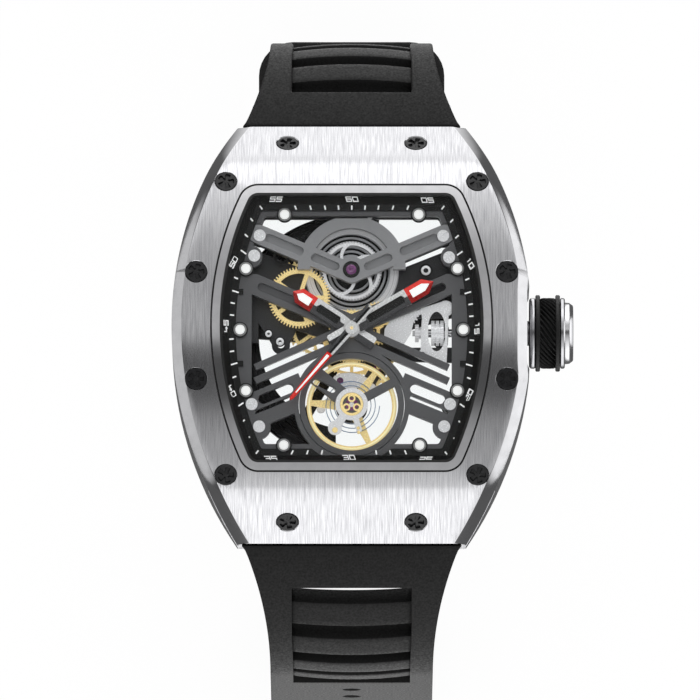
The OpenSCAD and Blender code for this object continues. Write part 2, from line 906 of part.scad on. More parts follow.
rotor_r = dial_w / 2 + cavity_g - 0.35;
rotor_rim = 3.85;
rotor_edge = 1.9;
rotor_arm_angles = [115, 172, 240];
rotor_arm_w = 1.2;
bearing_r = 2.2;

module rotor() {
    color("#2a2a2b") {
        slab(rotor_z, rotor_t) difference() {
            union() {
                intersection() {
                    difference() {
                        circle(rotor_r, $fn = 180);
                        circle(rotor_r - rotor_rim, $fn = 180);
                    }
                    translate([-big - rotor_edge, -big]) square([big, 2 * big]);
                }
                circle(bearing_r + 1.1);
                for (a = rotor_arm_angles) rotate(a) translate([0, -rotor_arm_w / 2])
                    square([rotor_r - 1, rotor_arm_w]);
            }
            circle(bearing_r + fit);
        }
    }
    color("#c9a24d") slab(auto_z, wheel_t) difference() {
        gear2d(rotor_n, rotor_gear_r, 0);
        circle(bearing_r - 0.75);
    }
    color("#c9a24d") slab(rotor_z + rotor_t - eps, auto_z - rotor_z - rotor_t + 2 * eps) difference() {
        circle(rotor_gear_r - 0.15);
        circle(bearing_r - 0.35);
    }
}

// Ball bearing and screw that carry the rotor on the train bridge
module rotor_bearing() {
    color("#b0b1b4") {
        slab(rotor_z + 0.05, rotor_t - 0.1) difference() {
            circle(bearing_r - joint_gap);
            circle(0.6);
        }
        difference() {
            disc(hub_p, 1.2, rotor_z - 0.2, train_bridge_z - rotor_z + 0.2);
            translate([-1.5, -0.15, rotor_z - 0.3]) cube([3, 0.3, 0.4]);
        }
    }
}

// Motion work

module cannon_pinion() {
    color("#b9babc") difference() {
        union() {
            slab(cannon_z, wheel_t) gear2d(cannon_n, cannon_r, 0);
            disc(hub_p, cannon_tube_r, cannon_z, minute_z + hand_t - cannon_z);
        }
        drill(hub_p, center_tube_r + fit);
    }
}

module minute_wheel() {
    a = bearing(hub_p, minute_p);
    color("#d8b868") translate(minute_p) difference() {
        union() {
            spoked_wheel(
                minute_n, minute_r, mesh(0, cannon_n, minute_n, a), 0.45, 0.7, 4, 0.4, cannon_z
            );
            slab(cannon_z, hour_wheel_z + wheel_t - cannon_z)
                gear2d(minute_pinion_n, minute_pinion_r, 0);
        }
        drill([0, 0], arbor_r + run_gap);
    }
}

module hour_wheel() {
    a = bearing(minute_p, hub_p);
    color("#d8b868") difference() {
        union() {
            spoked_wheel(
                hour_n, hour_r, mesh(0, minute_pinion_n, hour_n, a), 0.45, 1.1, 4, 0.4, hour_wheel_z
            );
            disc(hub_p, hour_tube_r, hour_wheel_z, hour_z + hand_t - hour_wheel_z);
        }
        drill(hub_p, cannon_tube_r + run_gap);
    }
}

module setting_wheel() {
    a = bearing(minute_p, setting_p);
    phase = mesh(mesh(0, cannon_n, minute_n, bearing(hub_p, minute_p)), minute_n, setting_teeth, a);
    color("#c9cacc") translate(setting_p) difference() {
        slab(cannon_z, wheel_t) gear2d(setting_teeth, setting_r, phase);
        drill([0, 0], arbor_r + run_gap);
    }
}

// Keyless work on the winding stem

clutch_x = 7.6;
crown_wheel_n = 22;
crown_wheel_r = 1.45;
clutch_r = 1;

module along_stem_gear(x, n, r, l) {
    translate([x, 0, stem_z]) rotate([0, 90, 0]) linear_extrude(l) gear2d(n, r, 0);
}

module clutch_wheel() {
    color("#c4c5c7") difference() {
        union() {
            along_stem_gear(clutch_x, 16, clutch_r, 0.45);
            along_x(clutch_x + 0.4, clutch_r * 0.7, 0.7);
            along_stem_gear(clutch_x + 1.05, 16, clutch_r, 0.45);
        }
        translate([0, -stem_r * 0.6 - run_gap, stem_z - stem_r * 0.6 - run_gap])
            cube([big, stem_r * 1.2 + 2 * run_gap, stem_r * 1.2 + 2 * run_gap]);
    }
}

crown_wheel_x = clutch_x + 1.95;
module crown_wheel() {
    color("#c4c5c7") difference() {
        union() {
            for (i = [0 : 2])
                along_stem_gear(crown_wheel_x + i * 0.55, crown_wheel_n, crown_wheel_r, 0.4);
            along_x(crown_wheel_x, crown_wheel_r * 0.8, 1.5);
        }
        along_x(5, stem_r + run_gap, big);
    }
}

// Spring plate over the winding stem, with a window for the crown wheel
lever_p = [8.55, -2.67];
plate_hole = [10.2, 0];

module setting_lever() {
    color("#cfd0d2") slab(hour_wheel_z - 0.05, wheel_t) difference() {
        union() {
            bar2d(lever_p, [8.7, 1.3], 0.3);
            translate(lever_p) circle(0.55);
        }
        translate(lever_p) circle(arbor_r + run_gap);
    }
}

module setting_plate() {
    color("#c6c7c9") slab(ratchet_z, wheel_t) difference() {
        union() {
            polygon([
                [8.3, 2.8], [10.8, 3.6], [11.7, 3.3], [11.4, -4], [10.7, -3.6], [9.4, -3.3], [8.9, -2.4]
            ]);
            translate(plate_screw_p) circle(0.95);
        }
        intersection() {
            translate(plate_hole) scale([0.45, 1]) circle(2.4);
            translate(plate_hole) square([2, 4.8], center = true);
        }
        translate(plate_screw_p) circle(screw_shank_r + fit);
    }
    color("#d2d3d5") slab(ratchet_z, wheel_t) union() {
        polygon([
            [4.7, 1.45], [5.6, 2], [7.36, 2.2], [7.4, 0.97], [7.1, -0.24], [6, -1.94],
            [3.9, -0.6], [3.95, 0.3]
        ]);
        beam2d([7, 1.9], [8.6, 2.5], 0.3);
    }
}

// Strap: two halves that turn down round the wrist and stand on the floor

bend_y = reach - bend_r;
root_top_z = crest(case_hh) - 0.35;
bend_z = root_top_z - sqrt(bend_r * bend_r - pow(case_hh - bend_y, 2));
tail_curl_r = 14;
tail_end_y = 22.9;
tail_tip_r = 6;
strap_neck_w = 24.8;
shoulder_gap = 0.2;

// Side view of the bend and the straight run down to height z_end, on the 12 o'clock side
module strap_side2d(z_end) {
    intersection() {
        difference() {
            translate([bend_y, bend_z]) circle(bend_r, $fn = 360);
            translate([bend_y, bend_z]) circle(bend_r - strap_t, $fn = 360);
        }
        translate([case_hh + shoulder_gap, bend_z]) square([big, big]);
    }
    translate([reach - strap_t, z_end]) square([strap_t, bend_z - z_end + 0.5]);
    strap_tongue2d();
}

// Tongue under the bezel's end, from the knuckle on the pin to the bend
module strap_tongue2d() {
    lower = bezel_t / cos(slope_a) + knuckle_gap;
    difference() {
        union() {
            translate([pin_y, pin_z]) circle(knuckle_r);
            polygon([
                [pin_y, pin_z + knuckle_r - 0.1], [pin_y + 0.3, pin_z - knuckle_r * 0.8],
                [case_hh + shoulder_gap + eps, tongue_low_z],
                [case_hh + shoulder_gap + eps, crest(case_hh) - lower]
            ]);
        }
        translate([pin_y, pin_z]) circle(pin_r + 0.05);
    }
}

tongue_low_z = bend_z + sqrt(pow(bend_r - strap_t, 2) - pow(case_hh + shoulder_gap - bend_y, 2));

// Plan view that narrows the strap from the case to the wrist line
module strap_plan2d() {
    both_sides() polygon([
        [0, case_hh + shoulder_gap], [strap_root_w / 2, case_hh + shoulder_gap],
        [strap_neck_w / 2, case_hh + 1.6],
        for (u = [0.25, 0.5, 0.75]) [
            strap_w / 2 + (strap_neck_w - strap_w) / 2 * pow(1 - u, 1.8),
            case_hh + 1.6 + (reach - case_hh - 1.6) * u
        ],
        [strap_w / 2, reach + 1], [0, reach + 1]
    ]);
    translate([-tongue_w / 2, pin_y - knuckle_r - 1])
        square([tongue_w, case_hh - pin_y + knuckle_r + 2]);
}

// Slots between the cross ribs, the first at angle first from the wrist line upwards
module rib_slots(count) {
    r = bend_r - strap_t / 2;
    step_a = slot_step / bend_r * 180 / PI;
    for (i = [0 : count - 1]) {
        a = first_slot_a - i * step_a;
        translate([0, bend_y, bend_z + min(a, 0) * PI / 180 * bend_r]) rotate([max(a, 0), 0, 0])
            translate([0, r, 0]) cube([2 * slot_half_w, strap_t * 2, slot_l], center = true);
    }
}

first_slot_a = 46.8;

loop_r = 2;
bar_z = -stand_h + loop_r;
bar_y = reach - strap_t / 2;

module strap_upper() {
    color("#262626") difference() {
        intersection() {
            union() {
                wide(strap_root_w) strap_side2d(bar_z);
                wide(strap_w) translate([bar_y, bar_z]) circle(loop_r);
            }
            union() {
                slab(bend_z, big) strap_plan2d();
                translate([-strap_w / 2, 0, -big]) cube([strap_w, big, big + bend_z + eps]);
            }
        }
        rib_slots(6);
        wide(strap_w + 2) translate([bar_y, bar_z]) circle(bar_r + 0.05);
        translate([-tang_gap / 2, bar_y - big / 2, -stand_h - 1]) cube([tang_gap, big, loop_r * 2 + 3]);
    }
}

tail_flat_y = reach - tail_curl_r;

// Plan view of the tail's tip, rounded at its corners
module tail_tip2d() {
    x = strap_w / 2 - tail_tip_r;
    both_sides() translate([x, tail_end_y + tail_tip_r]) circle(tail_tip_r);
    translate([-x, tail_end_y + 0.003]) square([2 * x, tail_tip_r + 1]);
}

hole_count = 7;
hole_step = 6.5;
hole_w = 2;
module strap_lower() {
    z0 = -stand_h + tail_curl_r;
    color("#262626") mirror([0, 1, 0]) difference() {
        intersection() {
            wide(strap_root_w) {
                strap_side2d(z0);
                intersection() {
                    translate([tail_flat_y, z0]) difference() {
                        circle(tail_curl_r, $fn = 360);
                        circle(tail_curl_r - tail_t, $fn = 360);
                    }
                    translate([tail_flat_y, -stand_h - 1])
                        square([tail_curl_r + 1, tail_curl_r + 1 + eps]);
                }
                translate([tail_end_y, -stand_h]) square([tail_flat_y - tail_end_y + 0.5, tail_t]);
                polygon([
                    [reach - strap_t, z0 + 8], [reach, z0 + 8], [reach, z0], [reach - tail_t, z0]
                ]);
            }
            union() {
                slab(bend_z, big) strap_plan2d();
                translate([-strap_w / 2, tail_end_y + tail_tip_r + 0.2, -big])
                    cube([strap_w, big, big + bend_z + eps]);
                slab(-stand_h - 1, 9) tail_tip2d();
            }
        }
        rib_slots(5);
        for (i = [0 : hole_count - 1]) {
            run = i * hole_step - 24;
            if (run < 0) translate([0, reach, z0 - run]) strap_hole();
            if (run > 0) translate([0, tail_flat_y, z0]) rotate([-run / tail_curl_r * 180 / PI, 0, 0])
                translate([0, tail_curl_r, 0]) strap_hole();
        }
    }
}

module strap_hole() {
    rotate([90, 0, 0]) cylinder(r = hole_w / 2, h = 3 * strap_t, center = true);
}

tail_t = 3;

pin_l = 2 * 12.3;
module strap_pins() {
    color("#a3a4a6") for (sy = [-1, 1]) translate([-pin_l / 2, sy * pin_y, pin_z])
        rotate([0, 90, 0]) cylinder(r = pin_r, h = pin_l);
}

// Buckle, folded flat on the floor behind the strap's end

bar_r = 0.7;
buckle_gap = 0.35;
buckle_hw = strap_w / 2 + buckle_gap + 2 * wire_r;
cross_r = wire_r + 0.1;
tang_gap = 3.2;
tang_w = 2;

module bar_part(r, x0, x1) {
    translate([x0, bar_y, bar_z]) rotate([0, 90, 0]) cylinder(r = r, h = x1 - x0);
}

module buckle_frame() {
    inner = buckle_hw - 2 * wire_r;
    color("#bdbec0") difference() {
        union() {
            for (sx = [-1, 1]) translate([sx * (buckle_hw - wire_r), bar_y, bar_z]) {
                translate([0, -buckle_l, wire_r - loop_r]) rotate([-90, 0, 0])
                    cylinder(r = wire_r, h = buckle_l - 1);
                rotate([0, 90, 0]) cylinder(r = loop_r, h = 2 * wire_r - 0.2, center = true);
            }
            translate([-buckle_hw, bar_y - buckle_l, bar_z - loop_r + cross_r])
                rotate([0, 90, 0]) cylinder(r = cross_r, h = 2 * buckle_hw);
        }
        bar_part(bar_r + fit, -inner - 1.2, inner + 1.2);
        bar_part(loop_r + 0.25, -inner, inner);
    }
}

module buckle_tang() {
    lift = bar_z - loop_r + 2 * cross_r + 0.1;
    tip_y = bar_y - buckle_l - wire_r * 0.6;
    color("#c6c7c9") difference() {
        union() {
            bar_part(1.5, -tang_w / 2, tang_w / 2);
            wide(tang_w) polygon([
                [bar_y - 0.4, bar_z + 1.3], [tip_y, lift + 0.7], [tip_y, lift],
                [bar_y - buckle_l + 1.4, lift], [bar_y - 1.2, bar_z - 0.2]
            ]);
        }
        bar_part(bar_r + 0.05, -tang_w, tang_w);
    }
}

module buckle_bar() {
    color("#a3a4a6") bar_part(bar_r, -buckle_hw + 2 * wire_r - 1.1, buckle_hw - 2 * wire_r + 1.1);
}

// Keepers round the 12 o'clock half; the free end of the other half goes under them
keeper_t = 1.4;
keeper_h = 5;
keeper_room = 3.4;
keeper_gap = 0.15;

module keeper(z, gap) {
    w = strap_w + 2 * gap;
    d = strap_t + 2 * gap;
    slab(z, keeper_h) difference() {
        translate([-w / 2 - keeper_t, reach - d + gap - keeper_t])
            square([w + 2 * keeper_t, d + 2 * keeper_t + keeper_room]);
        translate([-w / 2, reach - d + gap]) square([w, d + keeper_room]);
    }
}

fixed_keeper_z = bar_z + 4.4;
sliding_keeper_z = fixed_keeper_z + keeper_h + 6;

module fixed_keeper() {
    color("#222222") keeper(fixed_keeper_z, 0);
}

module sliding_keeper() {
    color("#222222") keeper(sliding_keeper_z, keeper_gap);
}

// Hands: each drawn along +X and turned to its place

hour_tip = 8.4;
minute_tip = 11.35;
hand_half_w = 0.98;
hour_a = 147;
minute_a = 30.2;
seconds_a = 229.5;

hand_hub_r = 1.25;
hand_slot_half = 0.5;

// Hand with a long slot before its head, its hole of radius bore
module hand(z, tip, head, tail, bore) {
    half = hand_half_w;
    difference() {
        union() {
            slab(z, hand_t) polygon([
                [-tail, -0.55], [-tail, 0.55], [0, half * 0.8], [head - 1, half * 0.92],
                [head, half], [tip - 0.85, half], [tip, 0], [tip - 0.85, -half],
                [head, -half], [head - 1, -half * 0.92], [0, -half * 0.8]
            ]);
            disc(hub_p, hand_hub_r, z, hand_t);
        }
        drill(hub_p, bore);
        slab(z - 1, 2) bar2d([2.3, 0], [head - 0.95, 0], hand_slot_half);
    }
}

module hour_hand() {
    color("#c4c4c4") rotate(hour_a) hand(hour_z, hour_tip, 5.5, 2.6, hour_tube_r + fit);
}

module minute_hand() {
    color("#c9c9c9") rotate(minute_a) hand(minute_z, minute_tip, 7.85, 2.9, cannon_tube_r + fit);
}

module seconds_hand() {
    color("#cc2018") rotate(seconds_a) difference() {
        union() {
            disc(hub_p, 0.95, seconds_z, hand_t);
            slab(seconds_z, hand_t) polygon([
                [-3.4, -0.55], [-3.4, 0.55], [0, 0.6], [4, 0.42], [seconds_tip - 1.2, 0.36],
                [seconds_tip, 0.1], [seconds_tip, -0.1], [seconds_tip - 1.2, -0.36],
                [4, -0.42], [0, -0.6]
            ]);
        }
        drill(hub_p, arbor_r + fit);
        translate([-3.1, -0.3, seconds_z - 1]) cube([1.9, 0.6, 2]);
        translate([1.3, -0.2, seconds_z - 1]) cube([2.3, 0.4, 2]);
    }
}

// Balance

balance_arm_a = 55;
staff_r = 0.3;

module balance_wheel() {
    color("#d9bd72") translate(balance_p) slab(balance_z, balance_t) {
        difference() {
            circle(balance_r, $fn = 180);
            circle(balance_r - 0.55, $fn = 180);
        }
        difference() {
            union() {
                circle(1.1);
                for (i = [0 : 2]) rotate(balance_arm_a + 120 * i)
                    polygon([[0, -0.75], [balance_r - 0.4, -0.3], [balance_r - 0.4, 0.3], [0, 0.75]]);
            }
            circle(staff_r + fit);
        }
    }
}

module balance_staff() {
    color("#aeb0b3") translate(balance_p) {
        disc([0, 0], staff_r, pivot_low_z, dial_z - 0.15 - pivot_low_z);
        disc([0, 0], roller_r, escape_z, wheel_t);
        disc([0, 0], 0.62, spring_z - 0.05, wheel_t);
    }
}

module hairspring() {
    steps = 30 * hair_turns;
    color("#5f7fa8") translate(balance_p) slab(spring_z, 0.16)
        polygon(spiral_points(hair_in_r + hair_spring_t, hair_out_r, hair_turns, hair_spring_t, steps));
}

// Ring bridge over the balance, with its arms to the hub
ring_in_r = balance_r + 0.18;
ring_out_r = 6.3;
ring_outer_r = 6.95;

module balance_bridge() {
    color("#4c4d4f") slab(skeleton_z, skeleton_t) difference() {
        union() {
            translate(balance_p) difference() {
                circle(ring_out_r, $fn = 180);
                circle(ring_in_r, $fn = 180);
            }
            translate(balance_p) circle(1.5);
            intersection() {
                translate(balance_p) circle(ring_out_r - 0.1);
                union() {
                    beam2d(balance_p, balance_p + [-5, 4.1], 1.05);
                    beam2d(balance_p, balance_p + [5.4, 2.9], 0.5);
                }
            }
        }
        bar2d(balance_p + [-4.1, 2.6] * 1.05, balance_p + [-2.3, 1.75], 0.35);
        translate(balance_p) circle(jewel_r + 0.25 + fit);
    }
}

module regulator() {
    color("#d0d1d3") slab(dial_z, 0.3) difference() {
        union() {
            translate(balance_p) circle(1.95);
            bar2d(balance_p, balance_p + [-2, -2.9], 0.5);
            translate(balance_p + [-2, -2.9]) circle(0.85);
            bar2d(balance_p, balance_p + [0.9, -3.1], 0.35);
        }
        translate(balance_p) circle(1.42);
    }
}

module shock_spring() {
    color("#d4ac4e") translate(balance_p) slab(dial_z, 0.2) {
        difference() {
            circle(1.38);
            circle(1.08);
        }
        for (a = [90, 210, 330]) rotate(a) difference() {
            translate([0.72, 0]) circle(0.46);
            translate([0.72, 0]) circle(0.26);
        }
    }
}

// Screws of the plates and bridges

screw_head_r = 0.72;
screw_head_t = 0.35;
screw_shank_r = 0.32;
pillar_r = 0.9;
top_screw_places = [
    [-11.05, 11.45], [11, 11.4], [11.7, 8.8], [-11.7, 9],
    [-12, -9], [11.8, -9], [-11.1, -11.7], [11.1, -11.7]
];
plate_screw_p = [11.3, 2.8];
low_screw_places = [[-12.5, 1], [12.4, 3.6], [2.2, 14.1]];

module slotted_screw(p, z, l) {
    translate([p[0], p[1], z]) {
        difference() {
            cylinder(r = screw_head_r, h = screw_head_t);
            rotate(40) translate([-1, -0.09, screw_head_t - 0.14]) cube([2, 0.18, 1]);
        }
        translate([0, 0, -l]) cylinder(r = screw_shank_r, h = l + eps);
    }
}

module bridge_screws() {
    color("#d3d4d6") {
        for (p = top_screw_places) slotted_screw(p, dial_z - 0.1, skeleton_t + 0.6);
        slotted_screw(plate_screw_p, ratchet_z + wheel_t + fit, 0.9);
        for (p = low_screw_places)
            translate([p[0], p[1], train_bridge_z + screw_head_t]) mirror([0, 0, 1])
                slotted_screw([0, 0], 0, bridge_t - screw_head_t + 0.7);
    }
}

module screw_holes(places) {
    for (p = places) drill(p, screw_shank_r + fit);
}

// Jewels: each entry holds place, height, thickness, outer radius and bore
jewel_r = 0.5;
pivot_bore = arbor_r + run_gap;
barrel_bore = 0.45 + run_gap;
staff_bore = staff_r + run_gap;
jewel_list = [
    [hub_p, train_bridge_z, bridge_t, jewel_r, pivot_bore],
    [escape_p, train_bridge_z, bridge_t, jewel_r, pivot_bore],
    [pallet_p, train_bridge_z, bridge_t, jewel_r, pivot_bore],
    [balance_p, train_bridge_z, bridge_t, jewel_r + 0.15, staff_bore],
    [barrel_p, train_bridge_z, bridge_t, 1, barrel_bore],
    [escape_p, main_z, main_t, jewel_r, pivot_bore],
    [pallet_p, main_z, main_t, jewel_r, pivot_bore],
    [barrel_p, skeleton_z, skeleton_t, 0.95, barrel_bore],
    [balance_p, skeleton_z, skeleton_t, jewel_r + 0.25, staff_bore],
];

module jewels() {
    color("#7d3f7a") for (j = jewel_list) translate([j[0][0], j[0][1], j[1]]) difference() {
        cylinder(r = j[3], h = j[2]);
        translate([0, 0, -1]) cylinder(r = j[4], h = j[2] + 2);
    }
}

module jewel_seats(z) {
    for (j = jewel_list) if (j[1] == z) drill(j[0], j[3] + fit);
}

// Plates

frame_g = -0.6;
frame_out_g = cavity_g - 0.1;

module frame2d(outer_g) {
    difference() {
        window2d(outer_g);
        window2d(frame_g);
    }
}

// Main plate: everything dark behind the skeleton plate
module main_plan2d() {
    frame2d(ring_g - ring_w - fit);
    intersection() {
        window2d(0);
        union() {
            translate(barrel_p) circle(6.5);
            circle(3);
            both_sides() beam2d([0, 6.9], [13, 12.42], 1);
            polygon([[-13.6, 10.8], [-3, 6.6], [-2, -1.2], [-6.6, 0.4], [-7.4, -1.2], [-13.6, 3.3]]);
            polygon([
                [-13.6, 4.2], [-7.4, 4.2], [-7.4, -1.2], [-9.4, -1.6],
                [-11.2, 1.2], [-11.2, -1.2], [-13.6, -1.2]
            ]);
            translate([-8.5, -1.45]) circle(1.1);
            polygon([[13.6, 10.8], [3, 6.6], [2, -1.2], [4.5, -3.4], [12.6, -3.6], [13.6, 0]]);
            beam2d(hub_p, escape_p, 0.9);
            beam2d(escape_p, pallet_p, 0.8);
            beam2d(pallet_p, balance_p, 0.7);
            translate(escape_p) circle(1);
            translate(pallet_p) circle(0.9);
            translate(balance_p) circle(1.9);
            for (p = top_screw_places) translate(p) circle(pillar_r + 0.1);
        }
    }
}

module main_plate() {
    color("#3c3c3e") {
        slab(main_z, main_t) difference() {
            main_plan2d();
            translate(barrel_p) circle(drum_r + 0.12);
            translate(hub_p) circle(center_tube_r + run_gap);
            translate(reduction_p) circle(arbor_r + 0.1 + run_gap);
            translate(balance_p) circle(1.2);
            for (p = [[-10, -0.5], [-8.5, -1.45]]) translate(p) circle(0.42);
            translate([clutch_x - 1.3, -well_half_w]) square([big, 2 * well_half_w]);
            for (p = concat(top_screw_places, low_screw_places))
                translate(p) circle(screw_shank_r + fit);
            for (j = jewel_list) if (j[1] == main_z) translate(j[0]) circle(j[3] + fit);
        }
        for (p = top_screw_places) pillar(p, main_z + main_t - eps, skeleton_z);
        for (p = low_screw_places) pillar(p, train_bridge_z + bridge_t, main_z + eps);
        pillar(plate_screw_p, main_z + main_t - eps, ratchet_z);
        disc(third_p, arbor_r, third_z - 0.15, main_z - third_z + 0.15 + eps);
        disc(third_p, 0.42, third_z - 0.15, 0.12);
        stud(minute_p, skeleton_z - 0.1);
        stud(setting_p, ratchet_z - 0.05);
        stud(lever_p, ratchet_z - 0.05);
    }
}

well_half_w = crown_wheel_r + 0.35;

module stud(p, top) {
    disc(p, arbor_r, main_z + main_t - eps, top - main_z - main_t + eps);
}

module pillar(p, z0, z1) {
    slab(z0, z1 - z0) translate(p) difference() {
        circle(pillar_r);
        circle(screw_shank_r + fit);
    }
}

// Train bridge: arms to the movement ring, seen only where the plates above hide it
module train_bridge() {
    color("#47484a") difference() {
        slab(train_bridge_z, bridge_t) difference() {
            intersection() {
                window2d(ring_g - ring_w - fit);
                union() {
                    circle(2.6);
                    beam2d(hub_p, [0, 20], 1.3);
                    beam2d(hub_p, [-20, 1.6], 1.2);
                    beam2d(hub_p, [20, 5.8], 1.2);
                    beam2d(hub_p, escape_p, 0.9);
                    beam2d(hub_p, reduction_p, 0.9);
                    beam2d(escape_p, pallet_p, 0.8);
                    beam2d(pallet_p, balance_p, 0.7);
                    translate(escape_p) circle(1);
                    translate(pallet_p) circle(0.9);
                    translate(balance_p) circle(1.3);
                    translate(barrel_p) circle(1.9);
                    translate(reduction_p) circle(1.05);
                    for (p = low_screw_places) translate(p) circle(pillar_r + 0.2);
                }
            }
            translate(reduction_p) circle(arbor_r + 0.1 + run_gap);
        }
        jewel_seats(train_bridge_z);
        screw_holes(low_screw_places);
        for (p = low_screw_places) disc(p, screw_head_r + fit, train_bridge_z - 1, screw_head_t + 1);
    }
}

// V-shaped bridge over the barrel, with its arch
v_low = 6.9;
v_slope = 23;
v_end_x = 11.2;
v_half = 1.15;

module v_bridge2d(g) {
    both_sides() bar2d([0, v_low], [v_end_x, v_low + v_end_x * tan(v_slope)], v_half + g);
    intersection() {
        translate(barrel_p) difference() {
            circle(6.5 + g);
            circle(5 - g);
        }
        translate([-7, barrel_y]) square([14, 6.2 + g]);
    }
    translate(barrel_p) circle(1.6 + g);
}

module v_slots2d() {
    both_sides() {
        bar2d([6.3, 9.6], [9.9, 11.13], 0.52);
        bar2d([2, 7.72], [4.35, 8.75], 0.52);
    }
}

module barrel_bridge() {
    color("#8a8b8d") difference() {
        slab(skeleton_z, skeleton_t) v_bridge2d(0);
        slab(dial_z - skeleton_t * 0.6, skeleton_t) v_slots2d();
        jewel_seats(skeleton_z);
        screw_holes(top_screw_places);
        for (p = top_screw_places) disc(p, screw_head_r + fit, dial_z - 0.1, 1);
    }
}

// Skeleton plate: frame, crossing bars and the outer ring round the balance
upper_bar = [11.65, 5.55];
cross_p = [0, 0.6];

module skeleton_bars2d() {
    both_sides() {
        translate([12, -6.8]) square([2.5, 14]);
        bar2d(upper_bar, cross_p, 1.25);
        beam2d([11.6, -4.5], [1.5, -0.05], 0.4);
        beam2d([11.6, -6.15], [1.2, -1.5], 0.42);
        beam2d([13.2, -9.5], [5.9, -6.4], 1.3);
        beam2d([13.2, -11.6], [5.6, -8.5], 1);
        translate([11.2, -11.7]) circle(1.5);
        translate([12, 8.9]) circle(1.3);
        translate([11.9, -9]) circle(1.4);
    }
    translate([-2.6, -2.3]) square([5.2, 3.9]);
    translate(balance_p) circle(ring_outer_r, $fn = 180);
}

module skeleton_plate() {
    color("#525355") difference() {
        slab(skeleton_z, skeleton_t) difference() {
            union() {
                frame2d(frame_out_g);
                intersection() {
                    window2d(0);
                    skeleton_bars2d();
                }
            }
            v_bridge2d(joint_gap);
            translate(balance_p) circle(ring_out_r + 0.06, $fn = 180);
            circle(hour_tube_r + 0.06);
            bar2d([10.8, 5.2], [3.2, 1.95], 0.5);
            both_sides() {
                bar2d([10.6, -8.35], [7.6, -7.1], 0.6);
                beam2d([11.6, -10], [7, -8.1], 0.2);
            }
        }
        slab(dial_z - skeleton_t * 0.5, skeleton_t) bar2d([-10.8, 5.2], [-5, 2.7], 0.5);
        disc(reduction_p, arbor_r + 0.1 + run_gap, skeleton_z - 1, 1.35);
        screw_holes(top_screw_places);
        for (p = top_screw_places) disc(p, screw_head_r + fit, dial_z - 0.1, 1);
    }
}

bezel();
inner_rim();
case_middle();
case_back();
crystal();
back_crystal();
crystal_gasket();
back_gasket();
bezel_screws();
back_screws();
minute_flange();
lume_dots();
movement_ring();
crown();
crown_grip();
winding_stem();
crown_tube();
clutch_wheel();
crown_wheel();
setting_lever();
setting_plate();
strap_upper();
strap_lower();
strap_pins();
buckle_frame();
buckle_tang();
buckle_bar();
fixed_keeper();
sliding_keeper();
hour_hand();
minute_hand();
seconds_hand();
cannon_pinion();
hour_wheel();
minute_wheel();
setting_wheel();
barrel_drum();
barrel_arbor();
mainspring();
ratchet_wheel();
reduction_wheel();
center_wheel();
third_wheel();
fourth_wheel();
escape_wheel();
pallet_fork();
balance_wheel();
balance_staff();
hairspring();
balance_bridge();
regulator();
shock_spring();
main_plate();
skeleton_plate();
barrel_bridge();
train_bridge();
bridge_screws();
jewels();
rotor();
rotor_bearing();
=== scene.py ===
"""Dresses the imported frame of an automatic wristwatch: modelled pieces, finishes, lights, camera."""
import logging
import math
from dataclasses import dataclass
from enum import Enum
from typing import Callable, Iterable, Sequence

import bmesh
import bpy
from mathutils import Matrix, Vector


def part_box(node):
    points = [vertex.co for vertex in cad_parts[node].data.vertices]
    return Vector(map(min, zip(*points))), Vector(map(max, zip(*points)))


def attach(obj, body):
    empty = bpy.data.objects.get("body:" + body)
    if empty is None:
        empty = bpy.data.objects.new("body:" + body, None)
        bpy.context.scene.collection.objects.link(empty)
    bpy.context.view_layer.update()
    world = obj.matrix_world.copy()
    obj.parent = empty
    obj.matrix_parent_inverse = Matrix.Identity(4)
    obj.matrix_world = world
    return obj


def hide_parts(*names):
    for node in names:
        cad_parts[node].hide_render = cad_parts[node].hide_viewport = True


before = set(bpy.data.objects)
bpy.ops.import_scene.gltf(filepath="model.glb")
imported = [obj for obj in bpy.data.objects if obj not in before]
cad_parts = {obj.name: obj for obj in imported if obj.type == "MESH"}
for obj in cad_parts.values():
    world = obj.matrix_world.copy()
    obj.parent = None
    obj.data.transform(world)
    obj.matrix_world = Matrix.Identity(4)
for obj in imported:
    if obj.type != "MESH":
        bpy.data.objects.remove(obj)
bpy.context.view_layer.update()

MM = 0.001
LOG = logging.getLogger("watch")
Point = Sequence[float]


# Finishes

def linear(code: str) -> tuple[float, float, float, float]:
    """Turns an sRGB hex colour into linear red, green, blue and alpha.

    Args:
        code: Six hex digits.
    Returns:
        The linear colour.
    """
    parts = [int(code[i:i + 2], 16) / 255 for i in (0, 2, 4)]
    r, g, b = [v / 12.92 if v <= 0.04045 else ((v + 0.055) / 1.055) ** 2.4 for v in parts]
    return r, g, b, 1.0


def add(tree: bpy.types.NodeTree, kind: str, links: dict | None = None, **settings) -> bpy.types.Node:
    """Adds one node, sets it and fills its inputs.

    Args:
        tree: The tree that takes the node.
        kind: The node's type name.
        links: Input name or number to an output socket or a plain value.
        settings: Attributes of the node.
    Returns:
        The new node.
    """
    node = tree.nodes.new(kind)
    for key, value in settings.items():
        setattr(node, key, value)
    for key, value in (links or {}).items():
        if isinstance(value, bpy.types.NodeSocket):
            tree.links.new(value, node.inputs[key])
        else:
            node.inputs[key].default_value = value
    return node


class Grain(Enum):
    """How a surface was worked."""
    FINE = "blasted or moulded"
    DRAWN = "brushed from 12 to 6 o'clock"
    TURNED = "turned about an axis"
    COILED = "turned about the crown's axis"


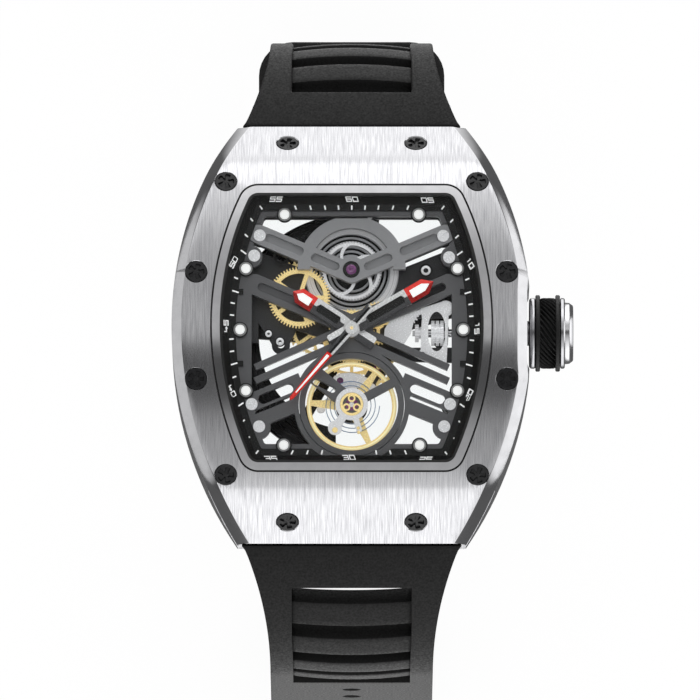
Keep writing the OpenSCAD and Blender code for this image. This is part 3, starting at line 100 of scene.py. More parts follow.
@dataclass(frozen=True)
class Finish:
    """A surface: its colours, its gloss, the marks of its making and any painted glow."""
    name: str
    light: str
    dark: str
    rough: float
    metal: float = 1.0
    grain: Grain = Grain.FINE
    pitch: float = 0.12
    depth: float = 0.002
    centre: tuple[float, float] = (0.0, 0.0)
    edge: float = 0.0
    coat: float = 0.0
    specular: float = 0.5
    stretch: float = 0.0
    # Emission in the surface's own colour: a painted glow that brightens it, no lamp
    painted_glow: float = 0.0

    def pattern(self, tree: bpy.types.NodeTree) -> bpy.types.NodeSocket:
        """Builds the grain, from 0 to 1.

        Args:
            tree: The material's tree.
        Returns:
            The pattern's output.
        """
        where = add(tree, "ShaderNodeTexCoord").outputs["Object"]
        if self.grain in (Grain.TURNED, Grain.COILED):
            x, y = self.centre
            place = (-x * MM, -y * MM, 0) if self.grain is Grain.TURNED else (0, -x * MM, -y * MM)
            flat = (1, 1, 0) if self.grain is Grain.TURNED else (0, 1, 1)
            moved = add(tree, "ShaderNodeMapping", {"Vector": where, "Location": place, "Scale": (1, 1, 1)})
            kept = add(tree, "ShaderNodeVectorMath", {0: moved.outputs[0], 1: flat}, operation="MULTIPLY")
            far = add(tree, "ShaderNodeVectorMath", {0: kept.outputs[0]}, operation="LENGTH")
            rings = add(tree, "ShaderNodeMath", {0: far.outputs["Value"], 1: 1 / (self.pitch * MM)},
                        operation="MULTIPLY")
            return add(tree, "ShaderNodeTexNoise", {"W": rings.outputs[0], "Scale": 1.0, "Detail": 2.0},
                       noise_dimensions="1D").outputs["Fac"]
        step = 1 / (self.pitch * MM)
        scale = (step, step / 30, step / 30) if self.grain is Grain.DRAWN else (step, step, step)
        mapped = add(tree, "ShaderNodeMapping", {"Vector": where, "Scale": scale})
        return add(tree, "ShaderNodeTexNoise", {"Vector": mapped.outputs[0], "Scale": 1.0, "Detail": 3.0}
                   ).outputs["Fac"]

    def build(self) -> bpy.types.Material:
        """Makes the material, once.

        Returns:
            The material.
        """
        found = bpy.data.materials.get(self.name)
        if found:
            return found
        material = bpy.data.materials.new(self.name)
        material.use_nodes = True
        tree = material.node_tree
        tree.nodes.clear()
        grain = self.pattern(tree)
        spread = add(tree, "ShaderNodeMapRange", {"Value": grain, "From Min": 0.3, "From Max": 0.7})
        tint = add(tree, "ShaderNodeMix", {"Factor": spread.outputs[0]}, data_type="RGBA")
        tint.inputs[6].default_value = linear(self.dark)
        tint.inputs[7].default_value = linear(self.light)
        gloss = add(tree, "ShaderNodeMapRange", {
            "Value": grain, "From Min": 0.3, "From Max": 0.7,
            "To Min": self.rough * 1.25, "To Max": self.rough * 0.8})
        bump = add(tree, "ShaderNodeBump", {"Height": grain, "Distance": self.depth * MM, "Strength": 1.0})
        if self.edge:
            worn = add(tree, "ShaderNodeBevel", {"Radius": self.edge * MM}, samples=4)
            tree.links.new(worn.outputs[0], bump.inputs["Normal"])
        # The emission carries the painted glow
        shader = add(tree, "ShaderNodeBsdfPrincipled", {
            "Base Color": tint.outputs[2], "Roughness": gloss.outputs[0], "Normal": bump.outputs[0],
            "Metallic": self.metal, "Coat Weight": self.coat, "Specular IOR Level": self.specular,
            "Anisotropic": self.stretch, "Emission Color": linear(self.light),
            "Emission Strength": self.painted_glow})
        if self.stretch:
            across = add(tree, "ShaderNodeCombineXYZ", {0: 1.0})
            tree.links.new(across.outputs[0], shader.inputs["Tangent"])
        add(tree, "ShaderNodeOutputMaterial", {"Surface": shader.outputs[0]})
        material.diffuse_color = linear(self.light)
        return material


@dataclass(frozen=True)
class ClearSapphire:
    """Coated sapphire: light passes straight, with a faint gloss on its broad faces alone."""
    name: str = "coated_sapphire"
    ior: float = 1.12

    def build(self) -> bpy.types.Material:
        """Makes the material, once.

        Returns:
            The material.
        """
        found = bpy.data.materials.get(self.name)
        if found:
            return found
        material = bpy.data.materials.new(self.name)
        material.use_nodes = True
        tree = material.node_tree
        tree.nodes.clear()
        clear = add(tree, "ShaderNodeBsdfTransparent", {"Color": (0.985, 0.99, 0.99, 1)})
        gloss = add(tree, "ShaderNodeBsdfAnisotropic", {"Color": (1, 1, 1, 1), "Roughness": 0.02})
        edge = add(tree, "ShaderNodeFresnel", {"IOR": self.ior})
        facing = add(tree, "ShaderNodeSeparateXYZ", {0: add(tree, "ShaderNodeTexCoord").outputs["Normal"]})
        height = add(tree, "ShaderNodeMath", {0: facing.outputs["Z"]}, operation="ABSOLUTE")
        faces = add(tree, "ShaderNodeMath", {0: height.outputs[0], 1: 0.5}, operation="GREATER_THAN")
        share = add(tree, "ShaderNodeMath", {0: edge.outputs[0], 1: faces.outputs[0]}, operation="MULTIPLY")
        mixed = add(tree, "ShaderNodeMixShader", {
            0: share.outputs[0], 1: clear.outputs[0], 2: gloss.outputs[0]})
        add(tree, "ShaderNodeOutputMaterial", {"Surface": mixed.outputs[0]})
        return material


# Brushed steel: fine drawn lines that smear the light from 12 to 6 o'clock
BRUSHED = Finish("brushed_steel", "c6c6c8", "a6a6a9", 0.24, grain=Grain.DRAWN, pitch=0.1, depth=0.0008,
                 stretch=0.85)
# Polished steel: clean, nearly mirror bright
POLISHED = Finish("polished_steel", "bcbcbe", "b4b4b6", 0.12, pitch=1.5, depth=0.0)
# Satin steel of the case sides, back and buckle
SATIN = Finish("satin_steel", "bebec0", "98989b", 0.3, grain=Grain.DRAWN, pitch=0.12, depth=0.0012,
               stretch=0.6)
# Turned steel of the crown's discs: rings about the crown's axis
TURNED_CROWN = Finish("turned_crown_steel", "d8d8da", "9c9c9f", 0.2, grain=Grain.COILED, pitch=0.12,
                      depth=0.001, centre=(0.0, 6.6))
# Black coated steel of the spline screws: dark with a soft gloss
BLACK_STEEL = Finish("black_coated_steel", "1b1b1d", "111113", 0.32, metal=0.0, pitch=0.3, depth=0.001,
                     edge=0.05, specular=0.35)
# Ruthenium plated skeleton bars: dark grey satin with lighter edges
RUTHENIUM = Finish("ruthenium_plate", "747476", "626264", 0.4, metal=0.5, pitch=0.1, depth=0.002,
                   edge=0.12)
# Satin nickel of the barrel bridge: mid grey, faintly grained
SATIN_NICKEL = Finish("satin_nickel_bridge", "aaaaac", "9c9c9f", 0.4, metal=0.5, pitch=0.09, depth=0.002,
                      edge=0.12)
# Dark plate behind the bars
DARK_PLATE = Finish("black_nickel_plate", "4c4c4e", "404042", 0.42, metal=0.5, pitch=0.1, depth=0.002,
                    edge=0.08)
# Matt black lacquer of the minute flange
BLACK_LACQUER = Finish("matt_black_lacquer", "161616", "0f0f0f", 0.45, metal=0.0, pitch=0.15, depth=0.001,
                       specular=0.4)
# Luminous paint: chalky white, slightly uneven, with a painted glow that brightens it
LUME = Finish("luminous_paint", "fefefd", "f6f6f4", 0.7, metal=0.0, pitch=0.12, depth=0.001, painted_glow=0.4)
# Printed white marks, with a painted glow that brightens them
WHITE_PRINT = Finish("white_print", "fbfbfb", "f0f0f0", 0.5, metal=0.0, pitch=0.1, depth=0.0, painted_glow=0.45)
# Grey print round the luminous dots
GREY_PRINT = Finish("grey_print", "a4a4a4", "949494", 0.5, metal=0.0, pitch=0.1, depth=0.0)
# Moulded strap rubber: matt black with a fine skin
STRAP_RUBBER = Finish("moulded_strap_rubber", "191919", "131313", 0.62, metal=0.0, pitch=0.25, depth=0.002,
                      specular=0.22)
# Grip rubber: a little glossier and blacker
GRIP_RUBBER = Finish("moulded_grip_rubber", "171717", "101010", 0.5, metal=0.0, pitch=0.2, depth=0.002,
                     specular=0.3)
# Seal rubber: dull black, for the gaskets; also the black sheets and rings that stand for painted shade
# behind the works
SEAL_RUBBER_AND_PAINTED_SHADE = Finish("seal_rubber_and_painted_shade", "161616", "101010", 0.6, metal=0.0, pitch=0.2, depth=0.002)
# Gilt brass wheels: warm and bright, with turned rings; part of the brightness is a painted glow
GILT = Finish("gilt_brass", "ffe6a4", "f8da92", 0.26, metal=0.4, pitch=0.1, depth=0.001, edge=0.04, painted_glow=0.3)
# Polished gilt line on the balance rim, with a painted glow
BRIGHT_GILT = Finish("polished_gilt", "fff2c0", "ffe9a8", 0.15, metal=0.3, pitch=0.3, depth=0.0, painted_glow=0.5)
# Nickel silver and rhodium parts, with a faint painted glow
RHODIUM = Finish("rhodium_plate", "eeeef0", "e4e4e6", 0.24, metal=0.4, pitch=0.15, depth=0.0005,
                 edge=0.05, painted_glow=0.18)
# Spring steel ribbon, with a faint painted glow
SPRING = Finish("spring_steel", "e0e0e3", "cacace", 0.3, metal=0.4, pitch=0.2, depth=0.001, painted_glow=0.1)
# Heat-blued hairspring alloy
BLUED = Finish("blued_alloy", "8fa6c4", "7088a8", 0.3, pitch=0.2, depth=0.001)
# Synthetic ruby: deep purple-red, polished
RUBY = Finish("synthetic_ruby", "8a4a86", "6c3468", 0.08, metal=0.0, pitch=0.5, depth=0.0, coat=0.6)
# Red lacquer of the hands' heads as lit and shaded copies: a painted highlight with a faint painted glow on
# one facet, painted shade on the other
RED_PAINTED_LIT = Finish("red_lacquer_lit", "f02a1c", "e8241a", 0.25, metal=0.0, pitch=0.4, depth=0.0,
                   coat=0.5, painted_glow=0.12)
RED_PAINTED_SHADE = Finish("red_lacquer_shade", "b3120c", "a50d08", 0.3, metal=0.0, pitch=0.4, depth=0.0, coat=0.3)
# Lit and shaded copies of the hands' steel: a painted highlight with a faint painted glow on one half,
# painted shade on the other
HAND_PAINTED_LIT = Finish("hand_painted_lit", "e6e6e7", "dedede", 0.25, metal=0.3, pitch=0.3, depth=0.0, painted_glow=0.1)
HAND_PAINTED_SHADE = Finish("hand_painted_shade", "5a5a5c", "4e4e50", 0.35, metal=0.5, pitch=0.3, depth=0.0)
# Black coated rotor weight with turned rings
ROTOR_BLACK = Finish("black_rotor", "242426", "1c1c1e", 0.28, grain=Grain.TURNED, pitch=0.5, depth=0.0004,
                     metal=0.5)
# Turned face of the barrel drum, with a faint painted glow
TURNED_DRUM = Finish("turned_drum_steel", "ececee", "dadadc", 0.28, grain=Grain.TURNED, pitch=0.12,
                     depth=0.001, centre=(0.0, 7.35), metal=0.35, painted_glow=0.12)


# Mesh making

class Shell:
    """Points in millimetres and faces of one piece while it is made."""

    def __init__(self) -> None:
        """Starts an empty shell."""
        self.points: list[Vector] = []
        self.faces: list[tuple[int, ...]] = []
        self.marks: list[int] = []

    def row(self, points: Iterable[Point]) -> list[int]:
        """Adds points and returns their numbers.

        Args:
            points: Places in millimetres.
        Returns:
            The numbers of the new points.
        """
        start = len(self.points)
        self.points += [Vector(p) for p in points]
        return list(range(start, len(self.points)))

    def face(self, ids: Sequence[int], mark: int = 0) -> None:
        """Adds one face over points that are there.

        Args:
            ids: Numbers of its corners, in order.
            mark: The finish of the face.
        """
        self.faces.append(tuple(ids))
        self.marks.append(mark)

    def bands(self, rows: Sequence[list[int]], mark: int = 0, loop: bool = True, wrap: bool = False) -> None:
        """Adds quads between neighbouring rows.

        Args:
            rows: Rows of point numbers, equally long.
            mark: The finish of the faces.
            loop: Whether each row is closed on itself.
            wrap: Whether the last row joins the first.
        """
        pairs = list(zip(rows, rows[1:])) + ([(rows[-1], rows[0])] if wrap else [])
        for a, b in pairs:
            last = len(a) if loop else len(a) - 1
            for i in range(last):
                j = (i + 1) % len(a)
                self.face((a[i], a[j], b[j], b[i]), mark)

    def plate(self, outline: Sequence[Point], low: float, high: float, bevel: float = 0.0, mark: int = 0,
              place: Matrix | None = None) -> None:
        """Adds a flat plate with a bevelled upper edge.

        Args:
            outline: Corners in the plane, anticlockwise.
            low: Height of the underside.
            high: Height of the face.
            bevel: Width of the upper bevel.
            mark: The finish of the faces.
            place: Where the plate goes.
        """
        at = place or Matrix()
        inner = inset(outline, bevel) if bevel else outline
        rows = [self.row(at @ Vector((x, y, low)) for x, y in outline)]
        if bevel:
            rows.append(self.row(at @ Vector((x, y, high - bevel)) for x, y in outline))
        rows.append(self.row(at @ Vector((x, y, high)) for x, y in inner))
        self.bands(rows, mark)
        self.face(rows[0][::-1], mark)
        self.face(rows[-1], mark)

    def lathe(self, profile: Sequence[Point], place: Matrix | None = None, steps: int = 48, mark: int = 0,
              ring: bool = False) -> None:
        """Adds a turned solid about its own Z.

        Args:
            profile: Radius and height of each corner.
            place: Where the solid goes.
            steps: Divisions of a full turn.
            mark: The finish of the faces.
            ring: Whether the profile is closed on itself, off the axis.
        """
        at = place or Matrix()
        turns = [2 * math.pi * k / steps for k in range(steps)]
        rows = [self.row(at @ Vector((r * math.cos(a), r * math.sin(a), z)) for a in turns)
                for r, z in profile]
        self.bands(rows, mark, wrap=ring)
        if not ring:
            self.face(rows[0][::-1], mark)
            self.face(rows[-1], mark)

    def make(self, name: str, finishes: Sequence, crease: float = 35.0) -> bpy.types.Object:
        """Turns the shell into an object at the origin.

        Args:
            name: Name of the piece.
            finishes: One finish for each mark in use.
            crease: Edge angle, in degrees, from which shading stays sharp.
        Returns:
            The object.
        """
        mesh = bpy.data.meshes.new(name)
        mesh.from_pydata([p * MM for p in self.points], [], self.faces)
        for finish in finishes:
            mesh.materials.append(finish.build())
        for face, mark in zip(mesh.polygons, self.marks):
            face.material_index = mark
        tidy(mesh, crease)
        thing = bpy.data.objects.new(name, mesh)
        bpy.context.scene.collection.objects.link(thing)
        return thing


def tidy(mesh: bpy.types.Mesh, crease: float = 35.0) -> None:
    """Merges doubles, turns faces outwards and shades smooth below the crease angle.

    Args:
        mesh: The mesh to clean.
        crease: Edge angle, in degrees, that stays sharp.
    """
    work = bmesh.new()
    work.from_mesh(mesh)
    bmesh.ops.remove_doubles(work, verts=work.verts, dist=1e-6)
    bmesh.ops.dissolve_degenerate(work, edges=work.edges, dist=5e-7)
    bmesh.ops.recalc_face_normals(work, faces=work.faces)
    work.to_mesh(mesh)
    work.free()
    mesh.shade_smooth()
    mesh.set_sharp_from_angle(angle=math.radians(crease))


def inset(outline: Sequence[Point], width: float) -> list[tuple[float, float]]:
    """Moves an anticlockwise outline inwards by a width, corner by corner.

    Args:
        outline: Corners, anticlockwise.
        width: How far each side moves.
    Returns:
        The moved corners.
    """
    moved = []
    count = len(outline)
    for i in range(count):
        before, here, after = (Vector(outline[(i + k) % count][:2]) for k in (-1, 0, 1))
        a, b = (here - before).normalized(), (after - here).normalized()
        side = Vector((-a.y - b.y, a.x + b.x))
        length = side.length or 1.0
        side = side / length
        grow = width / max(0.35, side.dot(Vector((-a.y, a.x))))
        moved.append((here.x + side.x * grow, here.y + side.y * grow))
    return moved


def baked(thing: bpy.types.Object, crease: float = 35.0) -> bpy.types.Object:
    """Turns an object's live modifiers into plain mesh.

    Args:
        thing: The object.
        crease: Edge angle, in degrees, that stays sharp.
    Returns:
        The same object.
    """
    graph = bpy.context.evaluated_depsgraph_get()
    mesh = bpy.data.meshes.new_from_object(thing.evaluated_get(graph))
    thing.modifiers.clear()
    thing.data = mesh
    mesh.shade_smooth()
    mesh.set_sharp_from_angle(angle=math.radians(crease))
    return thing


def carved(thing: bpy.types.Object, cutter: bpy.types.Object) -> bpy.types.Object:
    """Cuts one object out of another and removes the cutter.

    Args:
        thing: The object that is cut.
        cutter: The object that cuts.
    Returns:
        The object that was cut.
    """
    cut = thing.modifiers.new("cut", "BOOLEAN")
    cut.operation, cut.object, cut.solver = "DIFFERENCE", cutter, "EXACT"
    baked(thing)
    bpy.data.objects.remove(cutter)
    return thing


def rounded(thing: bpy.types.Object, width: float, steps: int = 3, angle: float = 40.0) -> bpy.types.Object:
    """Rounds an object's sharp edges by a width in millimetres.

    Args:
        thing: The object.
        width: Width of the rounding.
        steps: Its segments.
        angle: Edge angle, in degrees, from which an edge is rounded.
    Returns:
        The same object.
    """
    soft = thing.modifiers.new("round", "BEVEL")
    soft.width, soft.segments, soft.limit_method = width * MM, steps, "ANGLE"
    soft.angle_limit = math.radians(angle)
    return baked(thing)


# Copies by Geometry Nodes

class Copies:
    """Geometry Nodes that set one template at marked places."""

    def __init__(self) -> None:
        """Builds the tree with its named inputs."""
        self.tree = bpy.data.node_groups.new("set_at_places", "GeometryNodeTree")
        face = self.tree.interface
        self.keys = {}
        for label, kind in (("Geometry", "NodeSocketGeometry"), ("Template", "NodeSocketObject"),
                            ("Size", "NodeSocketFloat"), ("Finish", "NodeSocketMaterial")):
            self.keys[label] = face.new_socket(label, in_out="INPUT", socket_type=kind).identifier
        face.new_socket("Geometry", in_out="OUTPUT", socket_type="NodeSocketGeometry")
        source = add(self.tree, "NodeGroupInput").outputs
        turn = add(self.tree, "GeometryNodeInputNamedAttribute", {"Name": "turn"}, data_type="FLOAT_VECTOR")
        euler = add(self.tree, "FunctionNodeEulerToRotation", {0: turn.outputs[0]})
        info = add(self.tree, "GeometryNodeObjectInfo", {"Object": source["Template"]})
        copies = add(self.tree, "GeometryNodeInstanceOnPoints", {
            "Points": source["Geometry"], "Instance": info.outputs["Geometry"],
            "Rotation": euler.outputs[0], "Scale": source["Size"]})
        real = add(self.tree, "GeometryNodeRealizeInstances", {0: copies.outputs[0]})
        dressed = add(self.tree, "GeometryNodeSetMaterial", {
            "Geometry": real.outputs[0], "Material": source["Finish"]})
        add(self.tree, "NodeGroupOutput", {0: dressed.outputs[0]})

    def make(self, name: str, template: bpy.types.Object, places: Sequence[Matrix], finish: Finish,
             size: float = 1.0) -> bpy.types.Object:
        """Sets the template at each place.

        Args:
            name: Name of the piece.
            template: Object to copy, which is removed afterwards.
            places: Place of each copy, in millimetres.
            finish: Finish of the copies.
            size: Scale of each copy.
        Returns:
            One plain mesh object.
        """
        mesh = bpy.data.meshes.new(name)
        mesh.from_pydata([m.translation * MM for m in places], [], [])
        turns = mesh.attributes.new("turn", "FLOAT_VECTOR", "POINT")
        for item, m in zip(turns.data, places):
            item.vector = m.to_euler()
        thing = bpy.data.objects.new(name, mesh)
        bpy.context.scene.collection.objects.link(thing)
        nodes = thing.modifiers.new("copies", "NODES")
        nodes.node_group = self.tree
        nodes[self.keys["Template"]] = template
        nodes[self.keys["Size"]] = size
        nodes[self.keys["Finish"]] = finish.build()
        baked(thing)
        bpy.data.objects.remove(template)
        return thing


class TurnedCopies:
    """Geometry Nodes that repeat one template round the X axis of the crown."""

    def __init__(self) -> None:
        """Builds the tree with its named inputs."""
        self.tree = bpy.data.node_groups.new("repeat_round_axis", "GeometryNodeTree")
        face = self.tree.interface
        self.keys = {}
        for label, kind in (("Geometry", "NodeSocketGeometry"), ("Template", "NodeSocketObject"),
                            ("Count", "NodeSocketInt"), ("Axis Height", "NodeSocketFloat"),
                            ("Finish", "NodeSocketMaterial")):
            self.keys[label] = face.new_socket(label, in_out="INPUT", socket_type=kind).identifier
        face.new_socket("Geometry", in_out="OUTPUT", socket_type="NodeSocketGeometry")
        source = add(self.tree, "NodeGroupInput").outputs
        centre = add(self.tree, "ShaderNodeCombineXYZ", {2: source["Axis Height"]})
        line = add(self.tree, "GeometryNodeMeshLine", {"Count": source["Count"], "Offset": (0, 0, 0)})
        moved = add(self.tree, "GeometryNodeSetPosition", {"Geometry": line.outputs[0],
                                                          "Position": centre.outputs[0]})
        index = add(self.tree, "GeometryNodeInputIndex")
        step = add(self.tree, "ShaderNodeMath", {0: 2 * math.pi, 1: source["Count"]}, operation="DIVIDE")
        angle = add(self.tree, "ShaderNodeMath", {0: index.outputs[0], 1: step.outputs[0]},
                    operation="MULTIPLY")
        turn = add(self.tree, "ShaderNodeCombineXYZ", {0: angle.outputs[0]})
        euler = add(self.tree, "FunctionNodeEulerToRotation", {0: turn.outputs[0]})
        info = add(self.tree, "GeometryNodeObjectInfo", {"Object": source["Template"]})
        copies = add(self.tree, "GeometryNodeInstanceOnPoints", {
            "Points": moved.outputs[0], "Instance": info.outputs["Geometry"], "Rotation": euler.outputs[0]})
        real = add(self.tree, "GeometryNodeRealizeInstances", {0: copies.outputs[0]})
        dressed = add(self.tree, "GeometryNodeSetMaterial", {
            "Geometry": real.outputs[0], "Material": source["Finish"]})
        add(self.tree, "NodeGroupOutput", {0: dressed.outputs[0]})

    def make(self, name: str, template: bpy.types.Object, count: int, height: float,
             finish: Finish) -> bpy.types.Object:
        """Repeats the template round the axis.

        Args:
            name: Name of the piece.
            template: Object to copy, which is removed afterwards.
            count: How many copies.
            height: Height of the axis, in millimetres.
            finish: Finish of the copies.
        Returns:
            One plain mesh object.
        """
        thing = bpy.data.objects.new(name, bpy.data.meshes.new(name))
        bpy.context.scene.collection.objects.link(thing)
        nodes = thing.modifiers.new("copies", "NODES")
        nodes.node_group = self.tree
        nodes[self.keys["Template"]] = template
        nodes[self.keys["Count"]] = count
        nodes[self.keys["Axis Height"]] = height * MM
        nodes[self.keys["Finish"]] = finish.build()
        baked(thing)
        bpy.data.objects.remove(template)
        return thing


# Shared sizes, in millimetres, as in the part's source

@dataclass(frozen=True)
class Sizes:
    """Sizes that several sub-assemblies share."""
    dial_w: float = 27.8
    dial_l: float = 28.8
    dial_side_r: float = 35.4
    corner_r: float = 2.4
    open_g: float = 2.95
    track_g: float = 0.8
    case_hw: float = 21.6
    case_hh: float = 25.3
    case_side_r: float = 44.5
    crest_r: float = 60.0
    case_top: float = 14.05
    slope_y: float = 19.3
    slope_a: float = 44.0
    slope_ease: float = 2.6
    dial_z: float = 9.5
    track_z: float = 9.75
    stem_z: float = 6.6

    def angle(self, y: float) -> float:
        """Slope of the crest at y, in radians, eased over the bend towards the ends.

        Args:
            y: Distance from the middle, towards 12 or 6.
        Returns:
            The slope in radians.
        """
        y = abs(y)
        near, far = self.slope_y - self.slope_ease, self.slope_y + self.slope_ease
        arc = math.asin(min(y, near) / self.crest_r)
        if y <= near:
            return arc
        t = min(1.0, (y - near) / (far - near))
        return arc + (math.radians(self.slope_a) - arc) * t * t * (3 - 2 * t)

    def crest(self, y: float) -> float:
        """Height of the crest at y, summed from its slope beyond the arc.

        Args:
            y: Distance from the middle, towards 12 or 6.
        Returns:
            The height.
        """
        y = abs(y)
        near = self.slope_y - self.slope_ease
        z = self.case_top - self.crest_r + math.sqrt(self.crest_r ** 2 - min(y, near) ** 2)
        steps = max(1, int((y - near) / 0.05)) if y > near else 0
        for k in range(steps):
            run = (y - near) / steps
            z -= run * math.tan(self.angle(near + (k + 0.5) * run))
        return z

    def outline(self, hw: float, hh: float, side_r: float, corner: float, count: int = 1
                ) -> list[tuple[float, float]]:
        """Arched sides, straight ends and round corners, point by point.

        Args:
            hw: Half width of the shape without its corners.
            hh: Half height of the shape without its corners.
            side_r: Radius of the sides.
            corner: Radius of the corners, added all round.
            count: Multiplies the number of points.
        Returns:
            Points, anticlockwise from the lower right.
        """
        top = math.asin(hh / side_r)
        mid = hw - side_r
        corner_x = mid + side_r * math.cos(top)
        points = []
        for k in range(64 * count + 1):
            a = -top + 2 * top * k / (64 * count)
            points.append((mid + (side_r + corner) * math.cos(a), (side_r + corner) * math.sin(a)))
        for k in range(1, 8 * count):
            a = top + (math.pi / 2 - top) * k / (8 * count)
            points.append((corner_x + corner * math.cos(a), hh + corner * math.sin(a)))
        for k in range(24 * count + 1):
            points.append((corner_x * (1 - 2 * k / (24 * count)), hh + corner))
        for k in range(1, 8 * count):
            a = math.pi / 2 + (math.pi / 2 - top) * k / (8 * count)
            points.append((-corner_x + corner * math.cos(a), hh + corner * math.sin(a)))
        return points + [(-x, -y) for x, y in points]

    def window(self, grow: float, count: int = 1) -> list[tuple[float, float]]:
        """Outline of the dial opening grown by a width.

        Args:
            grow: Width that is added all round.
            count: Multiplies the number of points.
        Returns:
            Points, anticlockwise.
        """
        corner = max(0.4, self.corner_r + grow - self.open_g)
        return self.outline(self.dial_w / 2 + grow - corner, self.dial_l / 2 + grow - corner,
                            self.dial_side_r + grow - corner, corner, count)


S = Sizes()


def seated(x: float, y: float) -> Matrix:
    """Place on the crest at x, y, turned to its normal.

    Args:
        x: Place across.
        y: Place along.
    Returns:
        The place.
    """
    tilt = -math.copysign(S.angle(y), y)
    return Matrix.Translation((x, y, S.crest(y))) @ Matrix.Rotation(tilt, 4, "X")


def arc_points(x: float, y: float, r: float, a0: float, a1: float, steps: int) -> list[tuple[float, float]]:
    """Points on an arc between two angles in degrees.

    Args:
        x: Centre across.
        y: Centre along.
        r: Radius.
        a0: First angle.
        a1: Last angle.
        steps: Number of steps.
    Returns:
        The points.
    """
    return [(x + r * math.cos(math.radians(a0 + (a1 - a0) * k / steps)),
             y + r * math.sin(math.radians(a0 + (a1 - a0) * k / steps))) for k in range(steps + 1)]


def report(kind: str, thing: bpy.types.Object) -> None:
    """Logs one finished piece with its number of faces."""
    LOG.info("%s: %s, %d faces", kind, thing.name, len(thing.data.polygons))


# Case

@dataclass
class Case:
    """Bezel with its screws, over the case that comes from the frame."""
    copies: Copies
    thickness: float = 2.0
    chamfer_w: float = 1.25
    chamfer_d: float = 1.15
    notch_d: float = 0.55
    notch_half: float = 4.4
    notch_run: float = 2.4
    corner_r: float = 0.3
    lip_w: float = 0.12
    well_gap: float = 0.02
    sink_w: float = 0.14
    shank_bore_r: float = 0.57
    head_r: float = 1.29
    head_t: float = 0.7
    screw_places: tuple = ((7.7, 23.0), (15.1, 17.8), (18.65, 6.5))

    def outer(self, shrink: float) -> list[tuple[float, float]]:
        """Case outline with its crown notch, its sides moved in by a width.

        Args:
            shrink: How far the sides move in.
        Returns:
            Points, anticlockwise.
        """
        r = self.corner_r
        points = S.outline(S.case_hw - r - shrink, S.case_hh - r, S.case_side_r - r - shrink, r)
        edge = S.case_hw - shrink - self.notch_d
        out = []
        for x, y in points:
            t = min(1.0, max(0.0, (self.notch_half + self.notch_run - abs(y)) / self.notch_run))
            if x > 0 and t > 0:
                ease = t * t * (3 - 2 * t)
                x = x + (min(x, edge) - x) * ease
            out.append((x, y))
        return out

    def bezel(self) -> bpy.types.Object:
        """Builds the domed bezel with bevelled sides and screw wells.

        Returns:
            The bezel.
        """
        shell = Shell()
        inner = S.window(S.open_g)
        wide = self.outer(0.0)
        flat = self.outer(self.chamfer_w)
        soft = self.outer(self.chamfer_w - self.lip_w)
        lip = S.window(S.open_g + self.lip_w)
        base = [(x, y, S.crest(y) - self.thickness) for x, y in inner]
        rows = [shell.row(base),
                shell.row((x, y, S.crest(y) - self.lip_w) for x, y in inner),
                shell.row((x, y, S.crest(y)) for x, y in lip)]
        for k in range(1, 6):
            t = k / 6
            mid = [(a[0] + (b[0] - a[0]) * t, a[1] + (b[1] - a[1]) * t) for a, b in zip(lip, flat)]
            rows.append(shell.row((x, y, S.crest(y)) for x, y in mid))
        rows.append(shell.row((x, y, S.crest(y)) for x, y in flat))
        shell.bands(rows[:3], 3)
        shell.bands(rows[2:], 0)
        edge = [rows[-1], shell.row((x, y, S.crest(y) - self.lip_w / 2) for x, y in soft),
                shell.row((x, y, S.crest(y) - self.chamfer_d) for x, y in wide)]
        shell.bands(edge, 1)
        wall = [edge[-1], shell.row((x, y, S.crest(y) - self.thickness) for x, y in wide), rows[0]]
        shell.bands(wall, 2)
        thing = shell.make("bezel_ring", (BRUSHED, POLISHED, SATIN, SEAL_RUBBER_AND_PAINTED_SHADE))
        wells = Shell()
        well_r, sink_r = self.head_r + self.well_gap, self.head_r + self.sink_w
        for at in self.seats():
            wells.lathe([(self.shank_bore_r, -3.0), (self.shank_bore_r, -self.head_t),
                         (well_r, -self.head_t), (well_r, -0.1), (sink_r, 0.02), (sink_r, 1.5)], at, 48)
        carved(thing, wells.make("wells", (POLISHED,)))
        return thing

    def seats(self) -> list[Matrix]:
        """Place of each spline screw."""
        return [seated(sx * x, sy * y) for x, y in self.screw_places for sx in (-1, 1) for sy in (-1, 1)]

    def screw(self) -> bpy.types.Object:
        """Builds one spline screw about its own axis.

        Returns:
            The template, about its own axis.
        """
        shell = Shell()
        steps = 80
        turns = [2 * math.pi * k / steps for k in range(steps)]

        def lobed(a: float, deep: float) -> float:
            """Radius of the recess at an angle."""
            open_part = min(1.0, max(0.0, (math.cos(5 * a) + 0.72) / 0.5))
            return 0.46 + 0.54 * open_part - deep

        def ring(radius: Callable[[float], float], z: float) -> list[int]:
            """Adds one ring of points."""
            return shell.row((radius(a) * math.cos(a), radius(a) * math.sin(a), z) for a in turns)

        rows = [ring(lambda a: 0.08, -0.24), ring(lambda a: lobed(a, 0.1), -0.3),
                ring(lambda a: lobed(a, 0.0), -0.03), ring(lambda a: 1.2, -0.03),
                ring(lambda a: self.head_r, -0.11),
                ring(lambda a: self.head_r, -self.head_t), ring(lambda a: 0.55, -self.head_t),
                ring(lambda a: 0.55, -self.head_t - 1.9)]
        shell.bands(rows)
        shell.face(rows[0][::-1])
        shell.face(rows[-1])
        return shell.make("screw_template", (BLACK_STEEL,), 25)

    def build(self) -> None:
        """Builds and dresses the case's pieces."""
        ring = self.bezel()
        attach(ring, "head")
        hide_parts("bezel")
        report("bezel", ring)
        screws = self.copies.make("spline_screws", self.screw(), self.seats(), BLACK_STEEL)
        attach(screws, "head")
        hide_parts("bezel_screws")
        report("screws", screws)


# Strap

